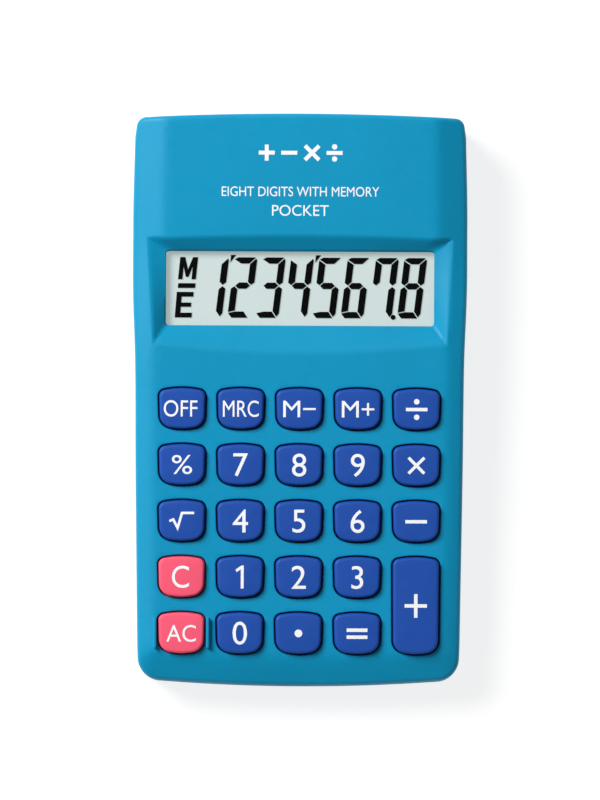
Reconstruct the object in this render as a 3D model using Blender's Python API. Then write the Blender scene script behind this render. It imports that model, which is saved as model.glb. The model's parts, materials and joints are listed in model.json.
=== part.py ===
"""Pocket calculator: a wedge-shaped two-part case with 24 sprung keys, an eight-digit liquid-crystal
display, a circuit board and one AA cell behind a sliding cover.

The calculator lies on its flat back: +X right, +Y to the display end, +Z up, origin under its middle.
Lengths are in millimetres and become metres when a mesh is made. What lies under the sloping face is
laid out on an empty that has the face's slope, so its Z is the height above the face.
"""
import math

import bmesh
import bpy
from mathutils import Matrix, Vector

METRES = 0.001
GAP = 0.3                       # air kept between neighbouring pieces

# Case
LENGTH = 118.0
FACE_HEIGHT = 15.16             # face above the back, half way along
FACE_RISE = 0.0492              # rise of the face per millimetre towards the display end
FACE_SLOPE = math.atan(FACE_RISE)
SIDE_STATIONS = ((-50.0, 33.3), (-14.0, 33.8), (8.0, 34.0), (22.0, 34.5), (38.0, 34.55), (54.0, 34.2))
TOP_HALF_WIDTH = 33.9
BOTTOM_HALF_WIDTH = 33.2
TOP_CORNER = 2.0
BOTTOM_CORNER = 4.7
TOP_SAGITTA = 0.93
BOTTOM_SAGITTA = 1.45
FACE_EDGE = 2.0                 # rounding where the face meets the sides
BACK_EDGE_WIDTH = 1.4           # rounding round the back, narrower than it is tall
BACK_EDGE_HEIGHT = 2.6
PARTING_HEIGHT = 6.6
WALL = 1.5
FLOOR = 1.6
LIP_HEIGHT = 1.2                # the rear case's lip stands in a groove inside the front case's wall
LIP_THICKNESS = 0.55
EDGE_STEPS = (0, 30, 60, 90)    # degrees round the case's edges

# Display
RECESS_TOP = ((31.6, 33.1), 0.9)        # corner, and how far the edge bulges at its middle
RECESS_BOTTOM = ((30.5, 11.0), 2.1)
RECESS_DEPTH = 2.0
WINDOW_CENTRE = 22.9
WINDOW_WIDTH = 55.4
WINDOW_HEIGHT = 15.3
BEZEL_DEPTH = 2.4               # underside of the case round the window
KEYPAD_POCKET_END = 7.4
BRAND_POCKET_START = 35.6
LCD_WIDTH = 60.0
LCD_TOP = 32.3
LCD_BOTTOM = 12.9
LCD_LEDGE_BOTTOM = 10.6         # the rear glass reaches further down, where the ribbon is bonded
PLATE_HALF_WIDTH = 30.4
PLATE_ENDS = (13.0, 32.8)
WINDOW_PLATE = (-2.7, -3.2)     # heights of each layer's top and bottom
POLARIZER = (-3.6, -3.75)
FRONT_GLASS = (-4.05, -4.65)
REAR_GLASS = (-4.95, -5.55)
REFLECTOR = (-5.85, -6.0)
HOLDER = (-5.3, -7.2)
FILM_INSET = 0.6                # the films stop short of the glasses' edges
HOLDER_FLOOR = 0.9
HOLDER_RIM = 0.7
RIBBON_WIDTH = 44.0
RIBBON_THICKNESS = 0.25
RIBBON_BEND = (10.8, 8.2)       # where it leaves the glass and where it lands on the board
RIBBON_END = 6.0

# Keys
COLUMN_PITCH = 12.08
ROW_PITCH = 11.565
FIRST_ROW = -1.95
KEY_WIDTH = 9.6
KEY_HEIGHT = 8.5
KEY_TAPER = 0.12                # each side draws in by this much at the lower end
KEY_TOP_CROWN = 0.35            # how far the upper and lower edges bulge
KEY_BOTTOM_CROWN = 0.2
KEY_TOP_CORNER = 1.4
KEY_BOTTOM_CORNER = 2.7
KEY_PROUD = 1.3
KEY_BEVEL = 0.45
FLANGE = 0.45                   # the key's foot is wider than its opening, so it can't fall out
FLANGE_TOP = -1.8
FLANGE_BOTTOM = -2.6
GUARD_WIDTH = 0.7               # a ridge on each side of the all-clear key
GUARD_LENGTH = 6.4
GUARD_HEIGHT = 1.1
GUARD_OFFSET = KEY_WIDTH / 2 + GAP + GUARD_WIDTH / 2

# Under the keys
MAT_TOP = -4.4
MAT_THICKNESS = 0.8
MAT_HALF_WIDTH = 30.2
MAT_ENDS = (-52.6, 4.6)
DOME_HEIGHT = 1.5
DOME_FOOT = 3.0
DOME_HEAD = 2.2
BOARD_TOP = -5.5
BOARD_BOTTOM = -6.7
BOARD_HALF_WIDTH = 30.9
BOARD_ENDS = (-56.2, 8.5)

# Power
CELL_RADIUS = 7.1
CELL_AXIS = (48.3, 9.0)         # along, and above the back
CELL_ENDS = (-22.8, 26.2)
NUB_RADIUS = 2.75
NUB_LENGTH = 1.5
CONTACT_PLANE = 28.0
CONTACT_THICKNESS = 0.4
SPRING_WIRE = 0.35
SPRING_TURNS = 3.5
SPRING_RADII = (4.2, 2.8)       # at the contact and at the cell
CONTACT_SECTION = ((40.9, 3.0), (43.6, 3.0), (44.0, 2.6), (53.0, 2.6), (53.0, 13.6), (43.6, 13.6),
                   (43.6, 5.0), (40.9, 5.0))
COVER_START = 40.7
COVER_THICKNESS = 1.6
COVER_LEDGE = 0.7
COVER_HALF_WIDTH = 26.4
COVER_WING = 1.3
RIB = (39.2, 40.1)
RIB_HALF_WIDTH = 29.6
RIB_TOP = 12.0
RIB_THICKNESS = 0.9
SIDE_RIB_END = 54.0
NOTCH_PLACE = 26.3              # where each wire passes the rib
NOTCH_HALF_WIDTH = 1.2
NOTCH_FLOOR = 2.4
WIRE_RADIUS = 0.45
WIRE_ROUTE = ((27.4, 42.2, 3.9), (26.3, 39.6, 4.0), (25.4, 36.6, 4.2), (25.0, 26.0, 4.2), (24.0, 14.0, 4.2),
              (22.6, 8.6, 5.4))
WIRE_END = (22.0, 6.5)          # soldered under the board

# Screws
CASE_SCREWS = ((-29.5, 36.6), (29.5, 36.6), (-29.0, -54.2), (29.0, -54.2))
CASE_BOSS = 2.1
CASE_SCREW_TOP = 9.4
CASE_SCREW_SIZE = (0.85, 1.55, 0.95)    # shank radius, head radius and head height
CASE_SCREW_HOLE = 1.15
COUNTERBORE = 1.9
UPPER_BOARD_SCREW = (1.5 * COLUMN_PITCH, FIRST_ROW - 0.5 * ROW_PITCH)
LOWER_BOARD_SCREW = (0.5 * COLUMN_PITCH, FIRST_ROW - 3.5 * ROW_PITCH)
BOARD_SCREWS = tuple((side * x, y) for x, y in (UPPER_BOARD_SCREW, LOWER_BOARD_SCREW) for side in (-1, 1))
BOARD_SCREW_SIZE = (0.6, 1.25, 0.75)
BOARD_SCREW_LENGTH = 4.4
BOARD_SCREW_HOLE = 0.9
BOARD_BOSS = 1.5

KEYS = (
    ("key_off", 0, 0), ("key_mrc", 1, 0), ("key_m_minus", 2, 0), ("key_m_plus", 3, 0), ("key_divide", 4, 0),
    ("key_percent", 0, 1), ("key_7", 1, 1), ("key_8", 2, 1), ("key_9", 3, 1), ("key_multiply", 4, 1),
    ("key_sqrt", 0, 2), ("key_4", 1, 2), ("key_5", 2, 2), ("key_6", 3, 2), ("key_minus", 4, 2),
    ("key_clear", 0, 3), ("key_1", 1, 3), ("key_2", 2, 3), ("key_3", 3, 3), ("key_plus", 4, 3.5),
    ("key_all_clear", 0, 4), ("key_0", 1, 4), ("key_point", 2, 4), ("key_equals", 3, 4),
)
RED_KEYS = ("key_clear", "key_all_clear")
TALL_KEYS = ("key_plus",)


# Bodies and materials

def clear_scene():
    for item in list(bpy.data.objects):
        bpy.data.objects.remove(item, do_unlink=True)


def material(name, colour, roughness=0.5, metallic=0.0, alpha=1.0):
    made = bpy.data.materials.new(name)
    made.use_nodes = True
    shader = made.node_tree.nodes["Principled BSDF"]
    shader.inputs["Base Color"].default_value = (*colour, 1.0)
    shader.inputs["Roughness"].default_value = roughness
    shader.inputs["Metallic"].default_value = metallic
    shader.inputs["Alpha"].default_value = alpha
    made.diffuse_color = (*colour, alpha)
    return made


def place(name, data, finish, parent, location):
    made = bpy.data.objects.new(name, data)
    if finish is not None:
        data.materials.append(finish)
    bpy.context.collection.objects.link(made)
    made.parent = parent
    made.location = Vector(location) * METRES
    return made


def body(name, bm, finish=None, parent=None, location=(0.0, 0.0, 0.0)):
    """An object from a bmesh in millimetres."""
    bmesh.ops.recalc_face_normals(bm, faces=bm.faces)
    bmesh.ops.scale(bm, verts=bm.verts, vec=(METRES, METRES, METRES))
    mesh = bpy.data.meshes.new(name)
    bm.to_mesh(mesh)
    bm.free()
    return place(name, mesh, finish, parent, location)


def tool(name, bm, parent=None):
    """A shape that only cuts or adds to others."""
    made = body(name, bm, None, parent)
    made.hide_render = True
    made.display_type = "WIRE"
    return made


def combine(target, other, operation):
    modifier = target.modifiers.new(other.name, "BOOLEAN")
    modifier.object = other
    modifier.operation = operation
    modifier.solver = "EXACT"


def loft_into(bm, rings):
    """A closed body through rings of matching points, with a flat face at each end."""
    base = bm.faces.new([bm.verts.new(point) for point in rings[0]])
    top = base
    for ring in rings[1:]:
        made = bmesh.ops.extrude_face_region(bm, geom=[top])
        if top is not base:
            bm.faces.remove(top)
        top = next(item for item in made["geom"] if isinstance(item, bmesh.types.BMFace))
        for vert, point in zip(top.verts, ring):
            vert.co = point


def loft(*rings):
    bm = bmesh.new()
    loft_into(bm, rings)
    return bm


def level(outline, height, centre=(0.0, 0.0)):
    return [(x + centre[0], y + centre[1], height) for x, y in outline]


def block(low, high):
    corners = ((low[0], low[1]), (high[0], low[1]), (high[0], high[1]), (low[0], high[1]))
    return loft(level(corners, low[2]), level(corners, high[2]))


def turned(profile, steps):
    """A body of revolution about Z from (radius, height) points that start and end on the axis."""
    bm = bmesh.new()
    verts = [bm.verts.new((radius, 0.0, height)) for radius, height in profile]
    edges = [bm.edges.new(pair) for pair in zip(verts, verts[1:])]
    bmesh.ops.spin(bm, geom=verts + edges, cent=(0, 0, 0), axis=(0, 0, 1), angle=math.tau,
                   steps=steps, use_merge=True)
    bmesh.ops.remove_doubles(bm, verts=bm.verts, dist=0.001)
    return bm


# Outlines, anticlockwise in plan

def arc(centre, radius, start, end, segments):
    points = []
    for index in range(segments + 1):
        angle = math.radians(start + (end - start) * index / segments)
        points.append((centre[0] + radius * math.cos(angle), centre[1] + radius * math.sin(angle)))
    return points


def mirrored(right_half):
    """Closes a half outline that runs from the middle of the lower end to the middle of the upper."""
    left_half = [(-x, y) for x, y in reversed(right_half) if x > 0.001]
    return right_half + left_half


def case_outline(inset=0.0):
    end = LENGTH / 2 - inset
    bottom_corner = max(BOTTOM_CORNER - inset, 0.6)
    top_corner = max(TOP_CORNER - inset, 0.6)
    bottom_x = BOTTOM_HALF_WIDTH - inset - bottom_corner
    top_x = TOP_HALF_WIDTH - inset - top_corner

    def lower_end(x):
        return BOTTOM_SAGITTA * (x / BOTTOM_HALF_WIDTH) ** 2 - end

    def upper_end(x):
        return end - TOP_SAGITTA * (x / TOP_HALF_WIDTH) ** 2

    half = [(bottom_x * step / 4, lower_end(bottom_x * step / 4)) for step in range(4)]
    half += arc((bottom_x, lower_end(bottom_x) + bottom_corner), bottom_corner, -90, 0, 5)
    half += [(half_width - inset, y) for y, half_width in SIDE_STATIONS]
    half += arc((top_x, upper_end(top_x) - top_corner), top_corner, 0, 90, 4)
    half += [(top_x * step / 4, upper_end(top_x * step / 4)) for step in range(3, -1, -1)]
    return mirrored(half)


def key_outline(height=KEY_HEIGHT, grow=0.0):
    half_width = KEY_WIDTH / 2 + grow
    half_height = height / 2 + grow
    top_corner = KEY_TOP_CORNER + grow
    bottom_corner = KEY_BOTTOM_CORNER + grow
    bottom_x = half_width - KEY_TAPER - bottom_corner
    top_x = half_width - top_corner
    bottom_y = -half_height + KEY_BOTTOM_CROWN + bottom_corner
    half = [(0.0, -half_height)]
    half += arc((bottom_x, bottom_y), bottom_corner, -85, 0, 2)
    half += arc((top_x, half_height - KEY_TOP_CROWN - top_corner), top_corner, 0, 82, 2)
    half += [(0.0, half_height)]
    return mirrored(half)


def rounded_rectangle(half_width, low, high, corner, segments=3):
    half = [(0.0, low)]
    half += arc((half_width - corner, low + corner), corner, -90, 0, segments)
    half += arc((half_width - corner, high - corner), corner, 0, 90, segments)
    half += [(0.0, high)]
    return mirrored(half)


def bulging_frame(top, bottom, steps=6):
    """Four-sided outline whose upper and lower edges bulge outwards."""
    (top_x, top_y), top_bulge = top
    (bottom_x, bottom_y), bottom_bulge = bottom
    half = []
    for step in range(steps + 1):
        share = step / steps
        half.append((bottom_x * share, bottom_y - bottom_bulge * (1 - share ** 2)))
    for step in range(steps, -1, -1):
        share = step / steps
        half.append((top_x * share, top_y + top_bulge * (1 - share ** 2)))
    return mirrored(half)


def face_height(y):
    return FACE_HEIGHT + FACE_RISE * y


def below_face(outline, drop):
    return [(x, y, face_height(y) - drop) for x, y in outline]


def key_centre(column, row):
    return ((column - 2) * COLUMN_PITCH, FIRST_ROW - row * ROW_PITCH)


def key_height(name):
    return KEY_HEIGHT + (ROW_PITCH if name in TALL_KEYS else 0.0)


# Case

def pocket_tool(name, low, high):
    """Cuts the wall back to its normal thickness between two stations along the case."""
    right = [(x, y) for x, y in case_outline(WALL) if x >= 0 and low < y < high]
    right.sort(key=lambda point: (point[1], point[0]))
    if low > -LENGTH:
        right = [(0.0, low), (right[0][0], low)] + right
    if high < LENGTH:
        right = right + [(right[-1][0], high), (0.0, high)]
    outline = mirrored(right)
    return tool(name, loft(below_face(outline, BEZEL_DEPTH + 1.0), below_face(outline, WALL)))


def case_tools(face):
    """Cutters and additions that shape the inside and the openings of the front case."""
    inner = case_outline(WALL)
    deep = tool("tool_cavity", loft(level(inner, PARTING_HEIGHT - 4), below_face(inner, BEZEL_DEPTH)))
    keypad = pocket_tool("tool_keypad_pocket", -LENGTH, KEYPAD_POCKET_END)
    brand = pocket_tool("tool_brand_pocket", BRAND_POCKET_START, LENGTH)

    relief_bm = turned(((0, -RIB_HALF_WIDTH), (CELL_RADIUS + GAP, -RIB_HALF_WIDTH),
                        (CELL_RADIUS + GAP, RIB_HALF_WIDTH), (0, RIB_HALF_WIDTH)), 32)
    lay_along_x(relief_bm, CELL_AXIS)
    relief = tool("tool_cell_relief", relief_bm)

    posts_bm = bmesh.new()
    for x, y in CASE_SCREWS:
        ring = arc((x, y), CASE_BOSS, 0, 360 - 24, 14)
        loft_into(posts_bm, (level(ring, PARTING_HEIGHT - 0.7), below_face(ring, WALL / 2)))
    posts = tool("tool_case_posts", posts_bm)

    raised_bm = bmesh.new()
    for centre in BOARD_SCREWS:
        ring = arc(centre, BOARD_BOSS, 0, 360 - 36, 9)
        loft_into(raised_bm, (level(ring, BOARD_TOP + GAP), level(ring, -WALL / 2)))
    centre_x, centre_y = key_centre(0, 4)
    for side in (-1, 1):
        x = centre_x + side * GUARD_OFFSET
        ring = guard_outline(x, centre_y)
        crest = guard_outline(x, centre_y, 0.25)
        loft_into(raised_bm, (level(ring, -WALL / 2), level(ring, GUARD_HEIGHT - 0.3),
                              level(crest, GUARD_HEIGHT)))
    raised = tool("tool_raised", raised_bm, face)

    openings_bm = bmesh.new()
    for name, column, row in KEYS:
        outline = key_outline(key_height(name), GAP)
        centre = key_centre(column, row)
        loft_into(openings_bm, (level(outline, -BEZEL_DEPTH, centre), level(outline, KEY_PROUD, centre)))
    for centre in BOARD_SCREWS:
        ring = arc(centre, BOARD_SCREW_HOLE, 0, 360 - 45, 7)
        loft_into(openings_bm, (level(ring, BOARD_TOP - 1), level(ring, -2.2)))
    slope_top = bulging_frame(RECESS_TOP, RECESS_BOTTOM)
    half_height = WINDOW_HEIGHT / 2
    window = bulging_frame(((WINDOW_WIDTH / 2, WINDOW_CENTRE + half_height), 0.0),
                           ((WINDOW_WIDTH / 2, WINDOW_CENTRE - half_height), 0.0))
    loft_into(openings_bm, (level(window, -BEZEL_DEPTH - 1), level(window, -RECESS_DEPTH),
                            level(slope_top, 0.0), level(slope_top, 1.0)))
    openings = tool("tool_openings", openings_bm, face)

    holes_bm = bmesh.new()
    for x, y in CASE_SCREWS:
        ring = arc((x, y), CASE_SCREW_HOLE, 0, 360 - 36, 9)
        loft_into(holes_bm, (level(ring, 0.0), level(ring, CASE_SCREW_TOP + GAP)))
    holes = tool("tool_case_screw_holes", holes_bm)
    return (deep, keypad, brand, relief), (posts, raised), (openings, holes, lip_groove())


def lip_groove():
    """The ring cut inside the front case's wall for the rear case's lip, with its clearance."""
    outside = case_outline(WALL - LIP_THICKNESS - GAP)
    inside = case_outline(WALL + GAP)
    floor = PARTING_HEIGHT - 1.0
    roof = PARTING_HEIGHT + LIP_HEIGHT + GAP
    core = tool("tool_lip_core", loft(level(inside, floor - 1.0), level(inside, roof + 1.0)))
    ring = tool("tool_lip_groove", loft(level(outside, floor), level(outside, roof)))
    combine(ring, core, "DIFFERENCE")
    return ring


def guard_outline(x, y, inset=0.0):
    """A straight ridge with round ends."""
    radius = GUARD_WIDTH / 2 - inset
    reach = GUARD_LENGTH / 2 - GUARD_WIDTH / 2
    return arc((x, y - reach), radius, 180, 360, 4) + arc((x, y + reach), radius, 0, 180, 4)


def front_case(face, finish):
    rings = [level(case_outline(), PARTING_HEIGHT + GAP / 2)]
    for degrees in EDGE_STEPS:
        angle = math.radians(degrees)
        inset = FACE_EDGE * (1 - math.cos(angle))
        rings.append(below_face(case_outline(inset), FACE_EDGE * (1 - math.sin(angle))))
    made = body("front_case", loft(*rings), finish)
    hollows, additions, openings = case_tools(face)
    for item in hollows:
        combine(made, item, "DIFFERENCE")
    for item in additions:
        combine(made, item, "UNION")
    for item in openings:
        combine(made, item, "DIFFERENCE")


def back_shape(top):
    """The outside of the rear case from the flat back up to a height."""
    rings = []
    for degrees in EDGE_STEPS:
        angle = math.radians(degrees)
        inset = BACK_EDGE_WIDTH * (1 - math.sin(angle))
        height = BACK_EDGE_HEIGHT * (1 - math.cos(angle))
        rings.append(level(case_outline(inset), height))
    rings.append(level(case_outline(), top))
    return loft(*rings)


def cover_slot(grow):
    """The battery cover's stepped cross-section, run out past the display end."""
    narrow = COVER_HALF_WIDTH + grow
    wide = COVER_HALF_WIDTH + COVER_WING + grow
    step = COVER_LEDGE + GAP - grow
    roof = COVER_THICKNESS + grow
    section = ((-narrow, -1.0), (narrow, -1.0), (narrow, step), (wide, step), (wide, roof),
               (-wide, roof), (-wide, step), (-narrow, step))
    near = [(x, COVER_START - grow, z) for x, z in section]
    far = [(x, LENGTH / 2 + 2, z) for x, z in section]
    return loft(near, far)


def rear_case(finish):
    made = body("rear_case", back_shape(PARTING_HEIGHT - GAP / 2), finish)
    lip_top = PARTING_HEIGHT + LIP_HEIGHT
    lip_outline = case_outline(WALL - LIP_THICKNESS)
    lip = loft(level(lip_outline, PARTING_HEIGHT - 1.5), level(lip_outline, lip_top))
    combine(made, tool("tool_lip", lip), "UNION")

    inner = case_outline(WALL)
    low_inner = case_outline(WALL + BACK_EDGE_WIDTH / 2)
    cavity = loft(level(low_inner, FLOOR), level(inner, BACK_EDGE_HEIGHT), level(inner, lip_top + 1))
    combine(made, tool("tool_tray", cavity), "DIFFERENCE")

    posts_bm = bmesh.new()
    for x, y in CASE_SCREWS:
        ring = arc((x, y), CASE_BOSS, 0, 360 - 24, 14)
        loft_into(posts_bm, (level(ring, FLOOR / 2), level(ring, PARTING_HEIGHT - 1.0)))
    combine(made, tool("tool_rear_posts", posts_bm), "UNION")

    side = RIB_HALF_WIDTH
    inside = side - RIB_THICKNESS
    fence = ((-side, RIB[0]), (side, RIB[0]), (side, SIDE_RIB_END), (inside, SIDE_RIB_END), (inside, RIB[1]),
             (-inside, RIB[1]), (-inside, SIDE_RIB_END), (-side, SIDE_RIB_END))
    combine(made, tool("tool_fence", loft(level(fence, FLOOR / 2), level(fence, RIB_TOP))), "UNION")

    cuts_bm = cover_slot(GAP)
    for x, y in CASE_SCREWS:
        head = arc((x, y), COUNTERBORE, 0, 360 - 30, 11)
        shank = arc((x, y), CASE_SCREW_HOLE, 0, 360 - 30, 11)
        loft_into(cuts_bm, (level(head, -1.0), level(head, FLOOR), level(shank, FLOOR),
                            level(shank, PARTING_HEIGHT)))
    near, far = RIB[0] - 0.5, RIB[1] + 0.5
    for side in (-1, 1):
        low = side * NOTCH_PLACE - NOTCH_HALF_WIDTH
        high = side * NOTCH_PLACE + NOTCH_HALF_WIDTH
        notch = ((low, near), (high, near), (high, far), (low, far))
        loft_into(cuts_bm, (level(notch, NOTCH_FLOOR), level(notch, RIB_TOP + 1)))
    combine(made, tool("tool_rear_cuts", cuts_bm), "DIFFERENCE")


def battery_cover(finish):
    made = body("battery_cover", back_shape(PARTING_HEIGHT), finish)
    combine(made, tool("tool_cover_slot", cover_slot(0.0)), "INTERSECT")


# Display

def plate(name, half_width, low, high, layer, corner, face, finish):
    outline = rounded_rectangle(half_width, low, high, corner)
    return body(name, loft(level(outline, layer[1]), level(outline, layer[0])), finish, face)


def display(face, finishes):
    half = LCD_WIDTH / 2
    film = half - FILM_INSET
    plate("display_window", PLATE_HALF_WIDTH, *PLATE_ENDS, WINDOW_PLATE, 0.8, face, finishes["clear"])
    plate("lcd_polarizer", film, LCD_BOTTOM + FILM_INSET, LCD_TOP - FILM_INSET, POLARIZER, 0.2, face,
          finishes["film"])
    plate("lcd_front_glass", half, LCD_BOTTOM, LCD_TOP, FRONT_GLASS, 0.2, face, finishes["glass"])
    plate("lcd_rear_glass", half, LCD_LEDGE_BOTTOM, LCD_TOP, REAR_GLASS, 0.2, face, finishes["glass"])
    plate("lcd_reflector", film, LCD_BOTTOM, LCD_TOP - FILM_INSET, REFLECTOR, 0.2, face,
          finishes["reflector"])

    rim = GAP + HOLDER_RIM
    low = LCD_LEDGE_BOTTOM - rim
    high = LCD_TOP + rim
    holder = plate("lcd_holder", half + rim, low, high, HOLDER, 1.2, face, finishes["holder"])
    pocket = rounded_rectangle(half + GAP, low + HOLDER_RIM, high - HOLDER_RIM, 0.4)
    pocket_bm = loft(level(pocket, HOLDER[1] + HOLDER_FLOOR), level(pocket, HOLDER[0] + 1))
    combine(holder, tool("tool_holder_pocket", pocket_bm, face), "DIFFERENCE")

    ledge = REAR_GLASS[0] + GAP
    landing = BOARD_TOP + GAP
    underside = ((LCD_BOTTOM - 0.4, ledge), (RIBBON_BEND[0], ledge), (RIBBON_BEND[1], landing),
                 (RIBBON_END, landing))
    upper = [(y, z + RIBBON_THICKNESS) for y, z in reversed(underside)]
    section = list(underside) + upper
    ribbon = loft([(-RIBBON_WIDTH / 2, y, z) for y, z in section],
                  [(RIBBON_WIDTH / 2, y, z) for y, z in section])
    body("lcd_ribbon", ribbon, finishes["ribbon"], face)


# Keys, mat and board

def keys(face, finishes):
    shapes = {}
    for name, column, row in KEYS:
        height = key_height(name)
        finish = finishes["key_red"] if name in RED_KEYS else finishes["key_blue"]
        if (height, name in RED_KEYS) not in shapes:
            foot = key_outline(height, FLANGE)
            stem = key_outline(height)
            crest = key_outline(height, -KEY_BEVEL)
            bm = loft(level(foot, FLANGE_BOTTOM), level(foot, FLANGE_TOP), level(stem, FLANGE_TOP),
                      level(stem, KEY_PROUD - KEY_BEVEL), level(crest, KEY_PROUD))
            first = body(name, bm, finish, face, (*key_centre(column, row), 0.0))
            shapes[height, name in RED_KEYS] = first.data
        else:
            shape = shapes[height, name in RED_KEYS]
            made = bpy.data.objects.new(name, shape)
            bpy.context.collection.objects.link(made)
            made.parent = face
            made.location = Vector((*key_centre(column, row), 0.0)) * METRES


def key_mat(face, finish):
    mat_bottom = MAT_TOP - MAT_THICKNESS
    outline = rounded_rectangle(MAT_HALF_WIDTH, *MAT_ENDS, 4.0)
    made = body("key_mat", loft(level(outline, mat_bottom), level(outline, MAT_TOP)), finish, face)
    domes_bm = bmesh.new()
    for name, column, row in KEYS:
        centre = key_centre(column, row)
        foot = arc(centre, DOME_FOOT, 0, 300, 5)
        head = arc(centre, DOME_HEAD, 0, 300, 5)
        loft_into(domes_bm, (level(foot, MAT_TOP - 0.3), level(foot, MAT_TOP),
                             level(head, MAT_TOP + DOME_HEIGHT)))
    combine(made, tool("tool_domes", domes_bm, face), "UNION")
    holes_bm = bmesh.new()
    for centre in BOARD_SCREWS:
        ring = arc(centre, BOARD_BOSS + 0.4, 0, 324, 9)
        loft_into(holes_bm, (level(ring, mat_bottom - 1), level(ring, MAT_TOP + 1)))
    combine(made, tool("tool_mat_holes", holes_bm, face), "DIFFERENCE")


def circuit_board(face, finishes):
    outline = rounded_rectangle(BOARD_HALF_WIDTH, *BOARD_ENDS, 2.0)
    made = body("circuit_board", loft(level(outline, BOARD_BOTTOM), level(outline, BOARD_TOP)),
                finishes["board"], face)
    holes_bm = bmesh.new()
    for centre in BOARD_SCREWS:
        ring = arc(centre, BOARD_SCREW_HOLE, 0, 315, 7)
        loft_into(holes_bm, (level(ring, BOARD_BOTTOM - 1), level(ring, BOARD_TOP + 1)))
    for x, y in CASE_SCREWS[2:]:
        ring = arc((x, y), CASE_BOSS + 0.6, 0, 336, 14)
        loft_into(holes_bm, (level(ring, BOARD_BOTTOM - 1), level(ring, BOARD_TOP + 1)))
    combine(made, tool("tool_board_holes", holes_bm, face), "DIFFERENCE")

    under = BOARD_BOTTOM - GAP
    blob = turned(((0, under), (5.0, under), (4.4, under - 0.7), (2.6, under - 1.2), (0, under - 1.3)), 20)
    body("chip_blob", blob, finishes["epoxy"], face, (0.0, -20.0, 0.0))
    can = turned(((0, 0), (1.9, 0), (2.0, 0.3), (2.0, 5.4), (1.7, 5.7), (2.0, 6.0), (2.0, 6.8), (1.8, 7.0),
                  (0, 7.0)), 16)
    bmesh.ops.rotate(can, verts=can.verts, cent=(0, 0, 0), matrix=Matrix.Rotation(-math.pi / 2, 3, "X"))
    body("capacitor", can, finishes["can"], face, (14.0, -4.0, under - 2.0))
    bead = turned(((0, 0), (0.3, 0), (0.3, 1.6), (0.8, 2.0), (0.75, 3.6), (0.8, 5.2), (0.3, 5.6), (0.3, 7.2),
                   (0, 7.2)), 12)
    lay_along_x(bead, (0.0, 0.0))
    body("resistor", bead, finishes["bead"], face, (-17.0, 0.0, under - 0.8))


def lay_along_x(bm, axis):
    """Turns a body from the Z axis to an axis along X at (y, z)."""
    bmesh.ops.rotate(bm, verts=bm.verts, cent=(0, 0, 0), matrix=Matrix.Rotation(math.pi / 2, 3, "Y"))
    bmesh.ops.translate(bm, verts=bm.verts, vec=(0.0, axis[0], axis[1]))


# Power

def wire(name, points, radius, finish, sides=1):
    curve = bpy.data.curves.new(name, "CURVE")
    curve.dimensions = "3D"
    curve.bevel_depth = radius * METRES
    curve.bevel_resolution = sides
    curve.use_fill_caps = True
    spline = curve.splines.new("POLY")
    spline.points.add(len(points) - 1)
    for point, place_mm in zip(spline.points, points):
        point.co = (*(Vector(place_mm) * METRES), 1.0)
    return place(name, curve, finish, None, (0.0, 0.0, 0.0))


def smooth_route(route, steps):
    """Points on a smooth curve through the route's own points."""
    ends = [route[0], *route, route[-1]]
    points = []
    for before, start, end, after in zip(ends, ends[1:], ends[2:], ends[3:]):
        before, start, end, after = Vector(before), Vector(start), Vector(end), Vector(after)
        for step in range(steps):
            share = step / steps
            curve = 2 * start + (end - before) * share
            curve += (2 * before - 5 * start + 4 * end - after) * share ** 2
            curve += (3 * start - before - 3 * end + after) * share ** 3
            points.append(curve / 2)
    points.append(Vector(route[-1]))
    return points


def battery(finishes):
    low, high = CELL_ENDS
    lip = 0.5
    cell = turned(((0, low), (CELL_RADIUS - lip, low), (CELL_RADIUS, low + lip), (CELL_RADIUS, high - lip),
                   (CELL_RADIUS - lip, high), (NUB_RADIUS, high), (NUB_RADIUS, high + NUB_LENGTH),
                   (0, high + NUB_LENGTH)), 28)
    lay_along_x(cell, CELL_AXIS)
    body("battery_cell", cell, finishes["cell"])

    along, above = CELL_AXIS
    for name, side in (("contact_positive", 1), ("contact_negative", -1)):
        near = [(side * CONTACT_PLANE, y, z) for y, z in CONTACT_SECTION]
        far = [(side * (CONTACT_PLANE + CONTACT_THICKNESS), y, z) for y, z in CONTACT_SECTION]
        body(name, loft(near, far), finishes["contact"])

    start = -CONTACT_PLANE + GAP + SPRING_WIRE
    end = low - GAP - SPRING_WIRE
    count = int(SPRING_TURNS * 10)
    coil = []
    for index in range(count + 1):
        share = index / count
        radius = SPRING_RADII[0] + (SPRING_RADII[1] - SPRING_RADII[0]) * share
        angle = math.tau * SPRING_TURNS * share
        coil.append((start + (end - start) * share, along + radius * math.cos(angle),
                     above + radius * math.sin(angle)))
    wire("battery_spring", coil, SPRING_WIRE, finishes["contact"])

    solder_height = face_height(WIRE_END[1]) + BOARD_BOTTOM - GAP - WIRE_RADIUS - 0.1
    for name, side in (("wire_red", 1), ("wire_black", -1)):
        route = (*WIRE_ROUTE, (*WIRE_END, solder_height))
        wire(name, smooth_route([(side * x, y, z) for x, y, z in route], 3), WIRE_RADIUS, finishes[name])


# Fasteners

def screw(size, length, steps):
    """A pan-head screw that points up, with the head's seat at height 0."""
    shank, head, head_height = size
    return turned(((0, -head_height), (head * 0.75, -head_height), (head, -head_height * 0.55), (head, 0),
                   (shank, 0), (shank, length - 0.5), (shank * 0.4, length), (0, length)), steps)


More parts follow.
